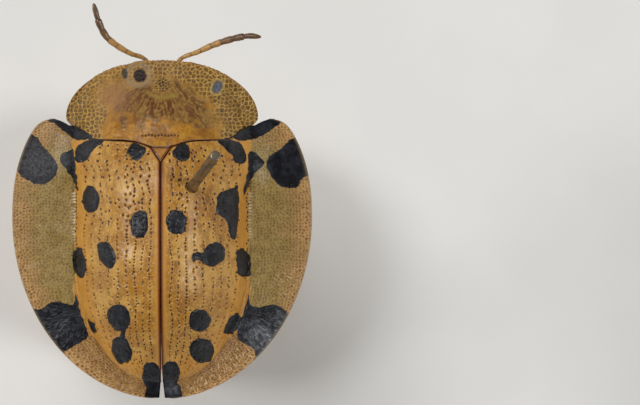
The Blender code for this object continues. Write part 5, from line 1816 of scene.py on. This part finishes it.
def pin():
    point = PIN_FOOT_Z + PIN_POINT_LENGTH * np.linspace(0.02, 1.0, 24)
    shaft = np.linspace(2.2, PIN_TOP_Z - PIN_TOP_ROUND, 120)
    top = PIN_TOP_Z - PIN_TOP_ROUND + PIN_TOP_ROUND * np.sin(np.linspace(0.2, 1.0, 6) * math.pi / 2)
    z = np.concatenate([point, shaft, top])
    rise = z - PIN_THROUGH[2]
    line = np.stack([PIN_THROUGH[0] + PIN_SLOPE[0] * rise, PIN_THROUGH[1] + PIN_SLOPE[1] * rise, z], axis=1)
    radii = (PIN_RADIUS - 0.005) * np.minimum((z - PIN_FOOT_Z) / PIN_POINT_LENGTH, 1.0) ** 0.7
    radii[-6:] *= 1.0 - 0.25 * np.linspace(0.0, 1.0, 6) ** 2
    turn = np.linspace(0.0, 2 * math.pi, PIN_SIDES, endpoint=False)[None, :]
    marks = (noise(turn + 0 * z[:, None], 0.05 * z[:, None] + 0 * turn, 0.18, 131) - 0.5) * 0.006
    points = rings(line, radii, (0.0, 1.0, 0.0), PIN_SIDES, 1.0, marks * (radii[:, None] > 0.1))
    return (*closed_tube(points, line[0] - (0, 0, 0.01), line[-1]), {})


mesh_piece("insect_pin", *pin(), tarnished_steel(), ("pin",), "pin_metal")

# %% [markdown]
# ## The base
# The small base is turned from a pale close-grained wood such as box, sanded and waxed. The lathe leaves a
# rounded shoulder and two shallow scribed rings. The log's growth rings were cut along their length, so
# they show as gentle stripes on top and on the sides, and as arcs where the end grain meets the rim.

# %% Base
BASE_CENTRE = (-0.70, -0.90)
BASE_RADIUS = 4.69
BASE_HEIGHT = 4.00
BASE_SIDES = 192
# height and inset of the turned profile in mm, from the foot to the top
BASE_PROFILE = (
    (0.0, 0.30), (0.02, 0.12), (0.12, 0.02), (0.35, 0.0), (0.80, 0.0), (0.84, 0.05), (0.90, 0.05), (0.94, 0.0),
    (2.90, 0.0), (2.94, 0.05), (3.00, 0.05), (3.04, 0.0), (3.55, 0.0), (3.78, 0.06), (3.92, 0.18), (3.98, 0.34),
    (4.0, 0.55),
)
HEARTWOOD_AT = (12 * MM, 0.0, 6 * MM)


def turned_boxwood():
    material, tree, shader = new_material("waxed_boxwood")
    place = add(tree, "ShaderNodeTexCoord", out=3)
    from_heart = add(tree, "ShaderNodeMapping", inputs={"Vector": place, "Location": HEARTWOOD_AT})
    settings = {"wave_type": "RINGS", "rings_direction": "Y", "wave_profile": "SAW"}
    inputs = {"Vector": from_heart, "Scale": 0.35 / MM, "Distortion": 1.2, "Detail": 3.0, "Detail Scale": 0.6}
    growth = add(tree, "ShaderNodeTexWave", settings, inputs)
    fibre = number(tree, (patchy(tree, 0.12, 3.0, (1, 0.05, 1)), 0.4, 0.7))
    colour = layered(tree, "#C9A468", (growth, 0.6, "#AD8346"), (fibre, 0.35, "#8E6532"))
    fill(tree, shader, {"Base Color": colour, "Roughness": 0.48, "Normal": relief(tree, fibre, 0.15, 0.02)})
    return material


def turned_base():
    heights, insets = (np.array(values) for values in zip(*BASE_PROFILE))
    outer = np.stack([BASE_RADIUS - insets, heights], axis=1)
    inner = [(radius, BASE_HEIGHT) for radius in np.linspace(BASE_RADIUS - 0.7, 0.4, 24)]
    under = [(radius, 0.0) for radius in np.linspace(0.4, BASE_RADIUS - 0.4, 12)]
    profile = np.concatenate([under, outer, inner])
    turn = np.linspace(0.0, 2 * math.pi, BASE_SIDES, endpoint=False)[None, :]
    x = BASE_CENTRE[0] + profile[:, :1] * np.cos(turn)
    y = BASE_CENTRE[1] + profile[:, :1] * np.sin(turn)
    ring_points = np.stack([x, y, profile[:, 1:] + 0 * turn], axis=2)
    return (*closed_tube(ring_points, (*BASE_CENTRE, 0.0), (*BASE_CENTRE, BASE_HEIGHT)), {})


mesh_piece("turned_base", *turned_base(), turned_boxwood(), ("stand_base",), "base_wood")
